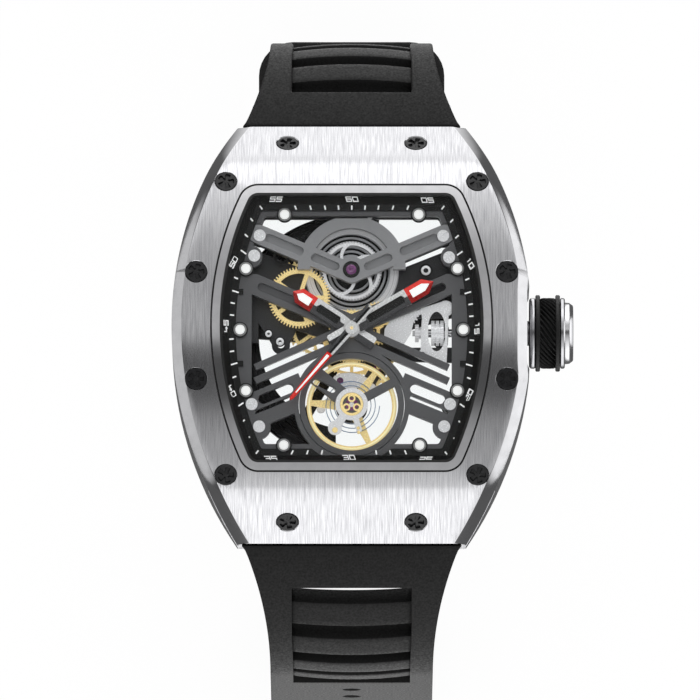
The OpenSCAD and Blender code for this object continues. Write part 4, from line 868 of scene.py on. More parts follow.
@dataclass
class Strap:
    """One half of the rubber strap: a frame of two rails with cross ribs, bent down round the wrist."""
    name: str
    node: str
    side: int
    slots: int
    bend_y: float = 15.0
    bend_r: float = 23.5
    thick: float = 3.6
    first: float = 43.2
    slot_l: float = 2.2
    slot_step: float = 6.2
    slot_half: float = 7.2
    floor: float = -68.0
    curl_r: float = 14.0
    tail_t: float = 3.0
    tail_end: float = 22.9
    tip_r: float = 6.0
    arch: float = 0.55
    root_half: float = 13.2
    neck_half: float = 12.4
    band_half: float = 9.8
    pin_y: float = 22.0
    pin_z: float = 2.6
    knuckle_r: float = 1.7
    bar_y: float = 36.7
    bar_z: float = -66.0
    bar_half: float = 1.6
    hole_count: int = 7
    hole_step: float = 6.5
    root_gap: float = 0.2
    neck_l: float = 1.6
    bar_up: float = 2.0

    def __post_init__(self) -> None:
        """Works out the bend's centre from the case's end."""
        root = S.case_top - S.crest_r + math.sqrt(S.crest_r ** 2 - S.slope_y ** 2)
        root -= (S.case_hh - S.slope_y) * math.tan(math.radians(S.slope_a)) + 0.35
        self.bend_z = root - math.sqrt(self.bend_r ** 2 - (S.case_hh - self.bend_y) ** 2)
        self.reach = self.bend_y + self.bend_r
        self.bend_len = self.bend_r * math.pi / 2
        self.start = self.bend_r * math.asin((S.case_hh + self.root_gap - self.bend_y) / self.bend_r)

    def at(self, run: float) -> tuple[Vector, Vector]:
        """Outer surface and outward direction at a length along the strap.

        Args:
            run: Length from the top of the bend's circle.
        Returns:
            Point and unit normal in the side plane, as (0, y, z).
        """
        if run <= self.bend_len:
            a = run / self.bend_r
            n = Vector((0, math.sin(a), math.cos(a)))
            return Vector((0, self.bend_y, self.bend_z)) + n * self.bend_r, n
        down = run - self.bend_len
        foot = self.floor + (self.curl_r if self.side < 0 else self.bar_up)
        straight = self.bend_z - foot
        if down <= straight:
            return Vector((0, self.reach, self.bend_z - down)), Vector((0, 1, 0))
        if self.side > 0:
            return Vector((0, self.reach, foot)), Vector((0, 1, 0))
        a = (down - straight) / self.curl_r
        if a <= math.pi / 2:
            n = Vector((0, math.cos(a), -math.sin(a)))
            return Vector((0, self.reach - self.curl_r, foot)) + n * self.curl_r, n
        rest = (a - math.pi / 2) * self.curl_r
        return Vector((0, self.reach - self.curl_r - rest, self.floor)), Vector((0, 0, -1))

    def total(self) -> float:
        """Length from the top of the bend's circle to the end.

        Returns:
            The length.
        """
        if self.side > 0:
            return self.bend_len + self.bend_z - self.floor - self.bar_up
        return (self.bend_len + self.bend_z - self.floor - self.curl_r + self.curl_r * math.pi / 2
                + self.reach - self.curl_r - self.tail_end)

    def half_width(self, run: float) -> float:
        """Half width at a length along the strap.

        Args:
            run: Length from the top of the bend's circle.
        Returns:
            Half the width.
        """
        y = self.at(run)[0].y
        end = self.total() - run
        if run <= self.bend_len:
            neck_y = S.case_hh + self.neck_l
            if y < neck_y:
                t = (y - S.case_hh - self.root_gap) / (self.neck_l - self.root_gap)
                return self.root_half + (self.neck_half - self.root_half) * max(0.0, t) ** 0.7
            u = min(1.0, (y - neck_y) / (self.reach - neck_y))
            return self.band_half + (self.neck_half - self.band_half) * (1 - u) ** 1.8
        if self.side < 0 and end < self.tip_r:
            bow = math.sqrt(max(0.0, self.tip_r ** 2 - (self.tip_r - end) ** 2))
            return self.band_half - self.tip_r + bow
        return self.band_half

    def thickness(self, run: float) -> float:
        """Thickness at a length along the strap.

        Args:
            run: Length from the top of the bend's circle.
        Returns:
            The thickness.
        """
        if self.side > 0:
            return self.thick
        start = self.bend_len + self.bend_z - self.floor - self.curl_r
        t = min(1.0, max(0.0, (run - start + 8) / 8))
        return self.thick + (self.tail_t - self.thick) * t

    def slot_runs(self) -> list[tuple[float, float]]:
        """Start and end of each opening along the strap.

        Returns:
            Start and end lengths, from the case outwards.
        """
        mid = math.radians(self.first) * self.bend_r
        half = self.slot_l / 2 * self.bend_r / (self.bend_r - self.thick / 2)
        return [(mid + i * self.slot_step - half, mid + i * self.slot_step + half)
                for i in range(self.slots)]

    def point(self, x: float, run: float, drop: float) -> Vector:
        """Point at x across, run along and drop below the outer face.

        Args:
            x: Place across.
            run: Length along the strap.
            drop: Depth below the outer face.
        Returns:
            The point.
        """
        p, n = self.at(run)
        q = p - n * drop
        return Vector((x, q.y * self.side, q.z))

    def frame_shell(self) -> Shell:
        """Builds the rails with the root and the end as one solid with one opening.

        Returns:
            The shell of the rails.
        """
        slots = self.slot_runs()
        first, last, total = slots[0][0], slots[-1][1], self.total()
        stations = [self.start + (first - self.start) * k / 10 for k in range(10)]
        stations += [first + (last - first) * k / 40 for k in range(41)]
        stations += [last + (total - last) * k / 44 for k in range(1, 44)]
        if self.side < 0:
            stations += [total - self.tip_r * (1 - math.sin(k * math.pi / 24)) for k in range(1, 12)]
        stations = sorted({round(s, 4) for s in stations} | {round(total - 0.02, 4)})
        shell = Shell()

        def columns(run: float) -> list[float]:
            """Places across the strap at one station.

            Args:
                run: Length along the strap.
            Returns:
                Places across.
            """
            w = self.half_width(run)
            s = min(self.slot_half, w * 0.72)
            return [-w, -w + (w - s) * 0.5, -s, -s / 3, s / 3, s, w - (w - s) * 0.5, w]

        outer, inner = [], []
        for run in stations:
            xs = columns(run)
            outer.append(shell.row(self.point(x, run, 0.0) for x in xs))
            inner.append(shell.row(self.point(x, run, self.thickness(run)) for x in xs))
        cells = {}
        for i in range(len(stations) - 1):
            mid = (stations[i] + stations[i + 1]) / 2
            for j in range(7):
                cells[i, j] = not (first < mid < last and 2 <= j <= 4)
        for (i, j), full in cells.items():
            if not full:
                continue
            shell.face((outer[i][j], outer[i][j + 1], outer[i + 1][j + 1], outer[i + 1][j]))
            shell.face((inner[i][j], inner[i + 1][j], inner[i + 1][j + 1], inner[i][j + 1]))
            if not cells.get((i - 1, j)):
                shell.face((outer[i][j + 1], outer[i][j], inner[i][j], inner[i][j + 1]))
            if not cells.get((i + 1, j)):
                shell.face((outer[i + 1][j], outer[i + 1][j + 1], inner[i + 1][j + 1], inner[i + 1][j]))
            if not cells.get((i, j - 1)):
                shell.face((outer[i][j], outer[i + 1][j], inner[i + 1][j], inner[i][j]))
            if not cells.get((i, j + 1)):
                shell.face((outer[i + 1][j + 1], outer[i][j + 1], inner[i][j + 1], inner[i + 1][j + 1]))
        return shell

    def ribs_shell(self) -> Shell:
        """Builds the arched ribs between the rails.

        Returns:
            The shell of the ribs.
        """
        shell = Shell()
        slots = self.slot_runs()
        reach = self.slot_half + 0.4
        for (_, start), (end, _) in zip(slots, slots[1:]):
            outer, inner = [], []
            for k in range(5):
                run = start + (end - start) * k / 4
                xs = [-reach + 2 * reach * c / 16 for c in range(17)]
                drop = [0.62 - self.arch * (1 - (x / reach) ** 2) for x in xs]
                low = [d + self.thick - 0.75 for d in drop]
                outer.append(shell.row(self.point(x, run, d) for x, d in zip(xs, drop)))
                inner.append(shell.row(self.point(x, run, d) for x, d in zip(xs, low)))
            shell.bands(outer, loop=False)
            shell.bands(inner, loop=False)
            shell.bands([outer[0], inner[0]], loop=False)
            shell.bands([outer[-1], inner[-1]], loop=False)
            for edge in (0, -1):
                for a, b in zip(range(4), range(1, 5)):
                    shell.face((outer[a][edge], outer[b][edge], inner[b][edge], inner[a][edge]))
        return shell

    def tongue(self, shell: Shell) -> None:
        """Adds the tongue under the bezel's end, down to its knuckle on the pin.

        Args:
            shell: The shell that takes it.
        """
        end_y = S.case_hh + 0.25
        top = S.case_top - S.crest_r + math.sqrt(S.crest_r ** 2 - S.slope_y ** 2)
        slope = math.radians(S.slope_a)
        top -= (S.case_hh - S.slope_y) * math.tan(slope) + 2 / math.cos(slope) + 0.3
        low = self.bend_z + math.sqrt((self.bend_r - self.thick) ** 2 - (end_y - self.bend_y) ** 2)
        arc = arc_points(self.pin_y, self.pin_z, self.knuckle_r, 75, 285, 20)
        side = arc + [(end_y, low), (end_y, top)]
        rows = [shell.row((x, y * self.side, z) for y, z in side) for x in (-9.5, 9.5)]
        shell.bands(rows)
        shell.face(rows[0][::-1])
        shell.face(rows[1])

    def build(self) -> bpy.types.Object:
        """Builds the half, rounds its edges and puts in its holes.

        Returns:
            The strap half.
        """
        body = rounded(self.frame_shell().make(self.name, (STRAP_RUBBER,)), 0.3)
        ribs = rounded(self.ribs_shell().make(self.name + "_ribs", (STRAP_RUBBER,)), 0.25, 2)
        extra = Shell()
        self.tongue(extra)
        if self.side > 0:
            self.loop(extra)
        root = rounded(extra.make(self.name + "_root", (STRAP_RUBBER,)), 0.12, 2, 50)
        cutter = Shell()
        cutter.lathe([(0.8, -14), (0.8, 14)], self.across(self.pin_y * self.side, self.pin_z), 32)
        carved(root, cutter.make("pin_bore", (STRAP_RUBBER,)))
        if self.side < 0:
            cutter = Shell()
            foot = self.floor + self.curl_r
            for i in range(self.hole_count):
                run = self.bend_len + self.bend_z - foot + i * self.hole_step - 24
                p, n = self.at(run)
                turn = Vector((0, n.y * self.side, n.z)).to_track_quat("Z", "Y").to_matrix().to_4x4()
                cutter.lathe([(1.0, -6), (1.0, -0.15), (1.15, 0.02), (1.15, 2)],
                             Matrix.Translation((0, p.y * self.side, p.z)) @ turn, 28)
            carved(body, cutter.make("holes", (STRAP_RUBBER,)))
        else:
            self.cut_bar(body, root)
        return joined(self.name, [body, ribs, root])

    def across(self, y: float, z: float) -> Matrix:
        """Place of an axis that runs across the strap."""
        return Matrix.Translation((0, y, z)) @ Matrix.Rotation(math.pi / 2, 4, "Y")

    def loop(self, shell: Shell) -> None:
        """Adds the rounded loop round the buckle's bar.

        Args:
            shell: The shell that takes it.
        """
        for a, b in ((-self.band_half, -self.bar_half), (self.bar_half, self.band_half)):
            shell.lathe([(1.999, a), (1.999, b)], self.across(self.bar_y, self.bar_z), 48)

    def cut_bar(self, body: bpy.types.Object, root: bpy.types.Object) -> None:
        """Bores the loop for the bar and opens the gap for the tang.

        Args:
            body: The strap's rails.
            root: The piece with the loop.
        """
        at = self.across(self.bar_y, self.bar_z)
        for thing in (body, root):
            cutter = Shell()
            cutter.lathe([(0.76, -12), (0.76, 12)], at, 32)
            carved(thing, cutter.make("bar_bore", (STRAP_RUBBER,)))
        gap = Shell()
        w = self.bar_half
        gap.plate([(-w, 30), (w, 30), (w, 42), (-w, 42)], -70, -62)
        carved(body, gap.make("tang_gap", (STRAP_RUBBER,)))


def joined(name: str, things: Sequence[bpy.types.Object]) -> bpy.types.Object:
    """Puts several objects' meshes into the first and names it.

    Args:
        name: Name of the result.
        things: Objects at the origin with the same finishes.
    Returns:
        The first object, with all the meshes.
    """
    work = bmesh.new()
    for thing in things:
        work.from_mesh(thing.data)
    work.to_mesh(things[0].data)
    work.free()
    for thing in things[1:]:
        bpy.data.objects.remove(thing)
    things[0].name = name
    things[0].data.name = name
    things[0].data.shade_smooth()
    things[0].data.set_sharp_from_angle(angle=math.radians(35))
    return things[0]


@dataclass
class Keeper:
    """Rubber loop round the strap's end with rounded edges."""
    name: str
    node: str
    body: str
    wall: float = 1.4
    near_r: float = 2.0
    far_r: float = 4.2
    near_bore_r: float = 0.8
    far_bore_r: float = 2.8

    def build(self) -> bpy.types.Object:
        """Builds the loop as a swept wall inside its node's box.

        Returns:
            The keeper.
        """
        low, high = (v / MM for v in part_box(self.node))
        shell = Shell()
        outer = box_round(low.x, high.x, low.y, high.y, self.near_r, self.far_r)
        w = self.wall
        inner = box_round(low.x + w, high.x - w, low.y + w, high.y - w, self.near_bore_r, self.far_bore_r)
        rows = [shell.row((x, y, low.z) for x, y in outer), shell.row((x, y, high.z) for x, y in outer),
                shell.row((x, y, high.z) for x, y in inner), shell.row((x, y, low.z) for x, y in inner)]
        shell.bands(rows, wrap=True)
        return rounded(shell.make(self.name, (STRAP_RUBBER,)), 0.35, 3)


def box_round(x0: float, x1: float, y0: float, y1: float, r: float, far_r: float
              ) -> list[tuple[float, float]]:
    """Rounded rectangle, anticlockwise, with its own radius for the corners at its far end.

    Args:
        x0: Left side.
        x1: Right side.
        y0: Near side.
        y1: Far side.
        r: Radius of the near corners.
        far_r: Radius of the far corners.
    Returns:
        Points, anticlockwise.
    """
    points = []
    for x, y, q, a in ((x1 - r, y0 + r, r, -90), (x1 - far_r, y1 - far_r, far_r, 0),
                       (x0 + far_r, y1 - far_r, far_r, 90), (x0 + r, y0 + r, r, 180)):
        points += arc_points(x, y, q, a, a + 90, 8)
    return points


@dataclass
class Wristband:
    """Both strap halves and their keepers."""

    def build(self) -> None:
        """Builds the strap's pieces and seats them on their bodies."""
        halves = (Strap("strap_half_upper", "strap_upper", 1, 6),
                  Strap("strap_half_lower", "strap_lower", -1, 5))
        for half in halves:
            piece = half.build()
            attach(piece, half.node)
            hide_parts(half.node)
            report("strap", piece)
        for keeper in (Keeper("keeper_fixed", "fixed_keeper", "strap_upper"),
                       Keeper("keeper_sliding", "sliding_keeper", "sliding_keeper")):
            piece = keeper.build()
            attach(piece, keeper.body)
            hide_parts(keeper.node)
            report("keeper", piece)


# Crown

@dataclass
class Crown:
    """Crown with its metal discs and its rubber grip with slanting ridges."""
    turned: TurnedCopies
    inner_x: float = 21.3
    disc_r: float = 4.25
    grip_x0: float = 22.07
    grip_x1: float = 25.03
    flange_r: float = 4.6
    flange_l: float = 0.55
    ridge_count: int = 34
    ridge_turn: float = 0.62
    ridge_foot: float = 3.7
    ridge_r: float = 3.8
    ridge_h: float = 0.46

    def along(self, profile: Sequence[Point]) -> Sequence[Point]:
        """Returns a profile of x and radius as radius and height for the lathe."""
        return [(r, x) for x, r in profile]

    def place(self) -> Matrix:
        """Place of the crown's axis, its height along +X."""
        return Matrix.Translation((0, 0, S.stem_z)) @ Matrix.Rotation(math.pi / 2, 4, "Y")

    def metal(self) -> bpy.types.Object:
        """Builds the discs and the chamfered cap.

        Returns:
            The metal of the crown.
        """
        shell = Shell()
        r, x0, x1 = self.disc_r, self.inner_x, self.grip_x1
        shell.lathe(self.along([
            (x0, 2.0), (x0, r - 0.25), (x0 + 0.12, r - 0.08), (x0 + 0.3, r), (x0 + 0.62, r),
            (x0 + 0.75, r - 0.12), (x0 + 0.75, 3.1), (x0 + 0.75, 2.0)]), self.place(), 96, ring=True)
        shell.lathe(self.along([
            (x1 + 0.02, 0.4), (x1 + 0.02, r - 0.12), (x1 + 0.12, r), (x1 + 0.42, r), (x1 + 0.57, r - 0.14),
            (x1 + 0.57, 3.72), (x1 + 0.72, 3.69), (x1 + 1.1, 3.66), (x1 + 1.16, 3.6), (x1 + 1.5, 3.36),
            (x1 + 1.57, 3.2), (x1 + 1.57, 2.2), (x1 + 1.54, 2.1), (x1 + 1.54, 0.4)]), self.place(), 96)
        return shell.make("crown_metal", (TURNED_CROWN,), 28)

    def sleeve(self) -> bpy.types.Object:
        """Builds the rubber sleeve under the ridges, with its two flanges.

        Returns:
            The sleeve.
        """
        shell = Shell()
        a, b, f, r = self.grip_x0, self.grip_x1 - 0.02, self.flange_l, self.flange_r
        shell.lathe(self.along([
            (a, 3.2), (a, r - 0.12), (a + 0.1, r), (a + f - 0.1, r), (a + f, r - 0.12), (a + f, 3.85),
            (b - f, 3.85), (b - f, r - 0.12), (b - f + 0.1, r), (b - 0.1, r), (b, r - 0.12), (b, 3.2)]),
            self.place(), 96, ring=True)
        return shell.make("crown_sleeve", (GRIP_RUBBER,))

    def ridge(self) -> bpy.types.Object:
        """Builds one slanting ridge at the top of the sleeve, about the axis at height zero.

        Returns:
            The template of a ridge.
        """
        shell = Shell()
        rows = []
        x0, x1 = self.grip_x0 + self.flange_l - 0.08, self.grip_x1 - self.flange_l + 0.06
        half = math.pi / self.ridge_count
        for k in range(9):
            t = k / 8
            x = x0 + (x1 - x0) * t
            slant = (0.5 - t) * self.ridge_turn
            ease = 1 - (2 * t - 1) ** 6 * 0.35
            ring = []
            for c in range(7):
                u = c / 6 * 2 - 1
                a = slant + u * half * 0.86
                swell = math.cos(u * math.pi / 2) ** 0.7 if abs(u) < 0.999 else 0.0
                r = self.ridge_r + self.ridge_h * swell * ease
                ring.append((x, r * math.sin(a), r * math.cos(a)))
            for a in (slant + half * 0.5, slant - half * 0.5):
                ring.append((x, self.ridge_foot * math.sin(a), self.ridge_foot * math.cos(a)))
            rows.append(shell.row(ring))
        shell.bands(rows)
        shell.face(rows[0][::-1])
        shell.face(rows[-1])
        return shell.make("ridge_template", (GRIP_RUBBER,), 60)

    def build(self) -> None:
        """Builds the crown's pieces."""
        metal = self.metal()
        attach(metal, "crown")
        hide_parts("crown")
        report("crown", metal)
        sleeve = self.sleeve()
        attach(sleeve, "crown")
        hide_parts("crown_grip")
        ridges = self.turned.make("crown_ridges", self.ridge(), self.ridge_count, S.stem_z, GRIP_RUBBER)
        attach(ridges, "crown")
        report("crown", ridges)


# Hands

HAND_FINISHES = (HAND_PAINTED_LIT, HAND_PAINTED_SHADE, RED_PAINTED_LIT, RED_PAINTED_SHADE, LUME, BLACK_LACQUER)


@dataclass
class Hand:
    """Faceted hand: a half with a painted highlight, a half with painted shade, a red head and a slot."""
    name: str
    node: str
    body: str
    z: float
    angle: float
    tip: float
    head: float
    point: float
    half: float
    slot_a: float
    slot_b: float
    tail: float
    inset_w: float = 0.5
    thick: float = 0.25

    def place(self) -> Matrix:
        """Turns the hand from +X to its angle, at its height."""
        return Matrix.Translation((0, 0, self.z)) @ Matrix.Rotation(math.radians(self.angle), 4, "Z")

    def side(self, shell: Shell, up: int, light: int) -> None:
        """Adds one long half of the hand with its facet.

        Args:
            shell: The shell that takes it.
            up: 1 for the left half as seen along the hand, -1 for the right one.
            light: 0 where the half takes the painted highlight, 1 where it takes the painted shade.
        """
        w, h, at = self.half, self.thick, self.place()
        gap = 0.5 * w
        runs = [(0.75, 0.0, light), (self.slot_a - 0.3, 0.0, light), (self.slot_a, gap, light),
                (self.slot_b, gap, light), (self.slot_b + 0.3, 0.0, light), (self.head, 0.0, light),
                (self.head, 0.0, light + 2), (self.point, 0.0, light + 2), (self.tip, 0.0, light + 2)]
        rows = []
        for k, (x, low, _) in enumerate(runs):
            wide = w * min(1.0, 0.8 + 0.1 * x) if x <= self.point else 0.02
            low = min(low, wide - 0.05) if low else 0.0
            ridge = (low + wide) / 2 if low else 0.0
            top = h if x < self.tip else h * 0.45
            rim = top * (0.85 if k < 6 else 0.4)
            corners = [(x, low * up, 0), (x, wide * up, 0), (x, wide * up, rim),
                       (x, max(ridge, low) * up, top), (x, low * up, top * (0.98 if low else 1.0))]
            rows.append(shell.row(at @ Vector(c) for c in corners))
        for a, b, mark in zip(rows, rows[1:], [r[2] for r in runs]):
            shell.bands([a, b], mark)
        shell.face(rows[0][::-1], light)
        shell.face(rows[-1], light + 2)

    def build(self) -> bpy.types.Object:
        """Builds the hand.

        Returns:
            The hand.
        """
        shell = Shell()
        at = self.place()
        # The half that faces the light takes the painted highlight, the other half painted shade
        light_from = 120
        lit = 1 if math.cos(math.radians(self.angle + 90 - light_from)) > 0 else -1
        self.side(shell, lit, 0)
        self.side(shell, -lit, 1)
        for up, mark in ((lit, 0), (-lit, 1)):
            w = self.half * 0.74
            rows = []
            for x in (-0.7, -self.tail + 0.2, -self.tail):
                edge = w if x > -self.tail else w * 0.8
                rows.append(shell.row(at @ Vector(c) for c in (
                    (x, 0, 0), (x, edge * up, 0), (x, edge * up, self.thick * 0.3), (x, 0, self.thick))))
            shell.bands(rows, mark)
            shell.face(rows[0], mark)
            shell.face(rows[-1][::-1], mark)
        # A black sheet fills the slot: painted shade where the open slot shows the works in shadow
        gap = 0.5 * self.half - 0.02
        shell.plate([(self.slot_a - 0.05, -gap), (self.slot_b + 0.1, -gap), (self.slot_b + 0.1, gap),
                     (self.slot_a - 0.05, gap)], 0.0, 0.06, 0.0, 5, at)
        shell.lathe([(0.2, 0.0), (0.98, 0.0), (0.98, self.thick - 0.05), (0.92, self.thick + 0.02),
                     (0.62, self.thick + 0.02), (0.6, self.thick - 0.03), (0.2, self.thick - 0.03)], at, 48,
                    ring=True)
        nib = self.half - self.inset_w
        start, end = self.head + 0.5, self.point - 0.25
        white = [(start, -nib), (end, -nib), (self.tip - 0.6, -0.02), (self.tip - 0.6, 0.02), (end, nib),
                 (start, nib)]
        shell.plate(white, self.thick * 0.4, self.thick + 0.04, 0.03, 4, at)
        return shell.make(self.name, HAND_FINISHES, 12)


@dataclass
class SecondsHand:
    """Seconds hand: a silver frame with a slot, its halves a painted highlight and painted shade, then a red
    needle with a white insert.
    """
    z: float = 11.19
    angle: float = 229.5
    thick: float = 0.25

    def build(self) -> bpy.types.Object:
        """Builds the hand.

        Returns:
            The hand.
        """
        at = Matrix.Translation((0, 0, self.z)) @ Matrix.Rotation(math.radians(self.angle), 4, "Z")
        shell = Shell()
        h = self.thick
        # The frame's two halves take the painted highlight and the painted shade
        for up, mark in ((1, 0), (-1, 1)):
            inner, outer = 0.17, 0.5
            for x0, x1 in ((0.6, 4.05), (-3.5, -0.6)):
                edge = [(x0, inner * up), (x1, inner * up * 0.75), (x1, outer * up * 0.8), (x0, outer * up)]
                shell.plate(anticlockwise(edge), 0.02, h, 0.03, mark, at)
        shell.plate([(-3.55, -0.37), (-3.3, -0.37), (-3.3, 0.37), (-3.55, 0.37)], 0.02, h, 0.05, 0, at)
        # Black strips fill the slot: painted shade where the open slot shows the works in shadow
        shell.plate([(0.7, -0.16), (4.0, -0.13), (4.0, 0.13), (0.7, 0.16)], 0.0, 0.08, 0.0, 5, at)
        shell.plate([(-3.35, -0.13), (-0.7, -0.16), (-0.7, 0.16), (-3.35, 0.13)], 0.0, 0.08, 0.0, 5, at)
        needle = [(4.0, -0.38), (11.1, -0.24), (11.5, 0.0), (11.1, 0.24), (4.0, 0.38)]
        shell.plate(needle, 0.02, h, 0.1, 2, at)
        filling = [(4.35, -0.17), (10.3, -0.07), (10.3, 0.07), (4.35, 0.17)]
        shell.plate(filling, h - 0.04, h + 0.03, 0.01, 4, at)
        shell.lathe([(0.18, 0.0), (0.8, 0.0), (0.8, h), (0.72, h + 0.07), (0.42, h + 0.07), (0.36, h),
                     (0.18, h)], at, 48, ring=True)
        return shell.make("hand_seconds", HAND_FINISHES, 12)


def signed_area(points: Sequence[Point]) -> float:
    """Area of an outline, positive where it runs anticlockwise."""
    return sum(a[0] * b[1] - b[0] * a[1] for a, b in zip(points, list(points[1:]) + [points[0]])) / 2


def anticlockwise(points: Sequence[Point]) -> Sequence[Point]:
    """Turns an outline round where it runs clockwise."""
    return points if signed_area(points) > 0 else points[::-1]


@dataclass
class Hands:
    """The three hands on their arbors."""

    def build(self) -> None:
        """Builds the hands and seats them on their wheels."""
        hour = Hand("hand_hour", "hour_hand", "hour_work", 10.15, 147.0, 8.4, 5.4, 7.5, 0.98, 1.9, 4.75, 3.2)
        minute = Hand("hand_minute", "minute_hand", "minute_work", 10.67, 30.2, 11.35, 7.75, 10.2, 0.98, 2.3,
                      7.1, 3.1)
        for hand in (hour, minute):
            piece = hand.build()
            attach(piece, hand.body)
            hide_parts(hand.node)
            report("hand", piece)
        piece = SecondsHand().build()
        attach(piece, "seconds_work")
        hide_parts("seconds_hand")
        report("hand", piece)


# Dial flange

STROKES = {
    "0": ((0, 0, 1, 0), (1, 0, 1, 1.5), (1, 1.5, 0, 1.5), (0, 1.5, 0, 0)),
    "1": ((0.6, 0, 0.6, 1.5), (0.6, 1.5, 0.2, 1.5)),
    "2": ((0, 1.5, 1, 1.5), (1, 1.5, 1, 0.75), (1, 0.75, 0, 0.75), (0, 0.75, 0, 0), (0, 0, 1, 0)),
    "3": ((0, 1.5, 1, 1.5), (1, 1.5, 1, 0), (1, 0, 0, 0), (0.2, 0.75, 1, 0.75)),
    "4": ((0, 1.5, 0, 0.6), (0, 0.6, 1, 0.6), (0.75, 1.1, 0.75, 0)),
    "5": ((1, 1.5, 0, 1.5), (0, 1.5, 0, 0.8), (0, 0.8, 1, 0.8), (1, 0.8, 1, 0), (1, 0, 0, 0)),
    "6": ((1, 1.5, 0, 1.5), (0, 1.5, 0, 0), (0, 0, 1, 0), (1, 0, 1, 0.8), (1, 0.8, 0, 0.8)),
}


@dataclass
class Flange:
    """Minute track: marks, numerals and luminous dots.

    The scale is in millimetres a pixel. Lean and squash are what the camera's tilt does to heights and to
    lengths on the dial.
    """
    copies: Copies
    scale: float = 0.12
    lean: float = 0.139
    squash: float = 0.99
    slope_deg: float = 38.0
    digit_w: float = 0.58
    digit_gap: float = 0.1
    stroke_half: float = 0.048
    layer_step: float = 0.004
    mark_half: float = 0.085
    axis_x: float = 351.7
    axis_y: float = 330.0
    numerals: tuple = (
        ("55", 276, 199, 12), ("60", 352, 199, 0), ("05", 427.5, 200, -12), ("10", 470, 263, -60),
        ("15", 477, 328, -90), ("20", 469, 395, 60), ("25", 425.5, 459.2, 12), ("30", 349, 457.4, 0),
        ("35", 271, 458.4, -12), ("40", 232, 391, -60), ("45", 226, 326, 90), ("50", 233.5, 262, 60))
    dots: tuple = ((8.05, 13.95), (12.7, 7.4), (13.4, 0.0), (12.7, -7.4), (8.15, -14.0))
    top_marks: tuple = (261, 295.5, 310.5, 325, 338.5, 351.8, 365, 378.5, 393, 408, 443)
    low_marks: tuple = (292.3, 307.5, 322, 376.2, 390.3, 405.5)
    left_marks: tuple = (
        (251.5, 219.5, 0), (246.3, 235.5, 0), (243.5, 252, 1), (236, 278, 0), (235.5, 291.5, 1),
        (232.7, 303, 0), (232, 315, 0), (231.5, 339, 0), (232, 351.3, 0), (234.2, 363.8, 1),
        (234.3, 377, 0), (240.8, 404.5, 1), (243.2, 421, 0), (248.3, 438, 0), (257.2, 452, 0))

    def spot(self, px: float, py: float, z: float) -> tuple[float, float]:
        """Place on a level that is seen at a pixel of the photograph.

        Args:
            px: Column in the photograph.
            py: Row in the photograph.
            z: Height of the level.
        Returns:
            Place across and along.
        """
        x = (px - self.axis_x) * self.scale
        y = ((self.axis_y - py) * self.scale - (z - S.dial_z) * self.lean) / self.squash
        return x, y

    def marks(self) -> bpy.types.Object:
        """Builds the short minute marks, turned along their rays.

        Returns:
            The marks.
        """
        z = S.track_z + 0.012
        spots = [(px, 207.5, 0) for px in self.top_marks] + [(px, 452.2, 0) for px in self.low_marks]
        spots += list(self.left_marks)
        spots += [(2 * self.axis_x - px, py + 1.2, long) for px, py, long in self.left_marks]
        shell = Shell()
        for px, py, long in spots:
            x, y = self.spot(px, py, z)
            a = math.atan2(y, x)
            half = 0.4 if long else 0.26
            at = Matrix.Translation((x, y, z)) @ Matrix.Rotation(a, 4, "Z")
            w = self.mark_half
            mark = [(-half, -w), (half, -w), (half, w), (-half, w)]
            shell.plate(mark, -0.03, 0.02, 0.0, 0, at)
        return shell.make("minute_marks", (WHITE_PRINT,))

    def figure(self, text: str, place: Matrix, lean: float, tall: float) -> Shell:
        """Draws one number with plain strokes.

        Args:
            text: The digits.
            place: Where its middle goes, facing +Z.
            lean: Sideways lean of the strokes.
            tall: Two thirds of the digits' height.
        Returns:
            The shell of the number.
        """
        shell = Shell()
        wide, w, layer = self.digit_w, self.stroke_half, 0.0
        for k, digit in enumerate(text):
            x0 = -wide - self.digit_gap if k == 0 else self.digit_gap
            for ax, ay, bx, by in STROKES[digit]:
                a = Vector((x0 + ax * wide, (ay - 0.75) * tall))
                b = Vector((x0 + bx * wide, (by - 0.75) * tall))
                along = (b - a).normalized() * w
                across = Vector((-along.y, along.x))
                if abs(along.y) > abs(along.x):
                    along = -along
                corners = [a - along - across, b + along - across, b + along + across, a - along + across]
                outline = anticlockwise([(c.x + c.y * lean, c.y) for c in corners])
                shell.plate(outline, -0.12 - layer, 0.04 + layer, 0.0, 0, place)
                layer += self.layer_step
        return shell

    def numbers(self) -> bpy.types.Object:
        """Builds the numerals on the slope.

        Returns:
            The numerals.
        """
        whole = Shell()
        for text, px, py, turn in self.numerals:
            tilt, z = math.radians(self.slope_deg), 10.1
            flat_side = not 210 < py < 440
            for _ in range(3):
                x, y = self.spot(px, py, z)
                side = math.hypot(abs(x) + S.dial_side_r - S.dial_w / 2, y) - S.dial_side_r
                grow = abs(y) - S.dial_l / 2 if flat_side else side
                z = S.track_z + (grow - S.track_g) * math.tan(tilt) + 0.04
            if flat_side:
                slope = Matrix.Rotation(tilt if y > 0 else -tilt, 4, "X")
                spin = Matrix()
                lean = -0.25 if x * y > 0.5 else (0.25 if x * y < -0.5 else 0.0)
            else:
                slope = Matrix.Rotation(-tilt if x > 0 else tilt, 4, "Y")
                spin = Matrix.Rotation(math.radians(turn), 4, "Z")
                lean = 0.0
            at = Matrix.Translation((x, y, z)) @ slope @ spin
            part = self.figure(text, at, lean, 0.5 if flat_side and y < 0 else 0.4)
            shift = len(whole.points)
            whole.points += part.points
            whole.faces += [tuple(i + shift for i in f) for f in part.faces]
            whole.marks += part.marks
        return whole.make("track_numerals", (WHITE_PRINT,))

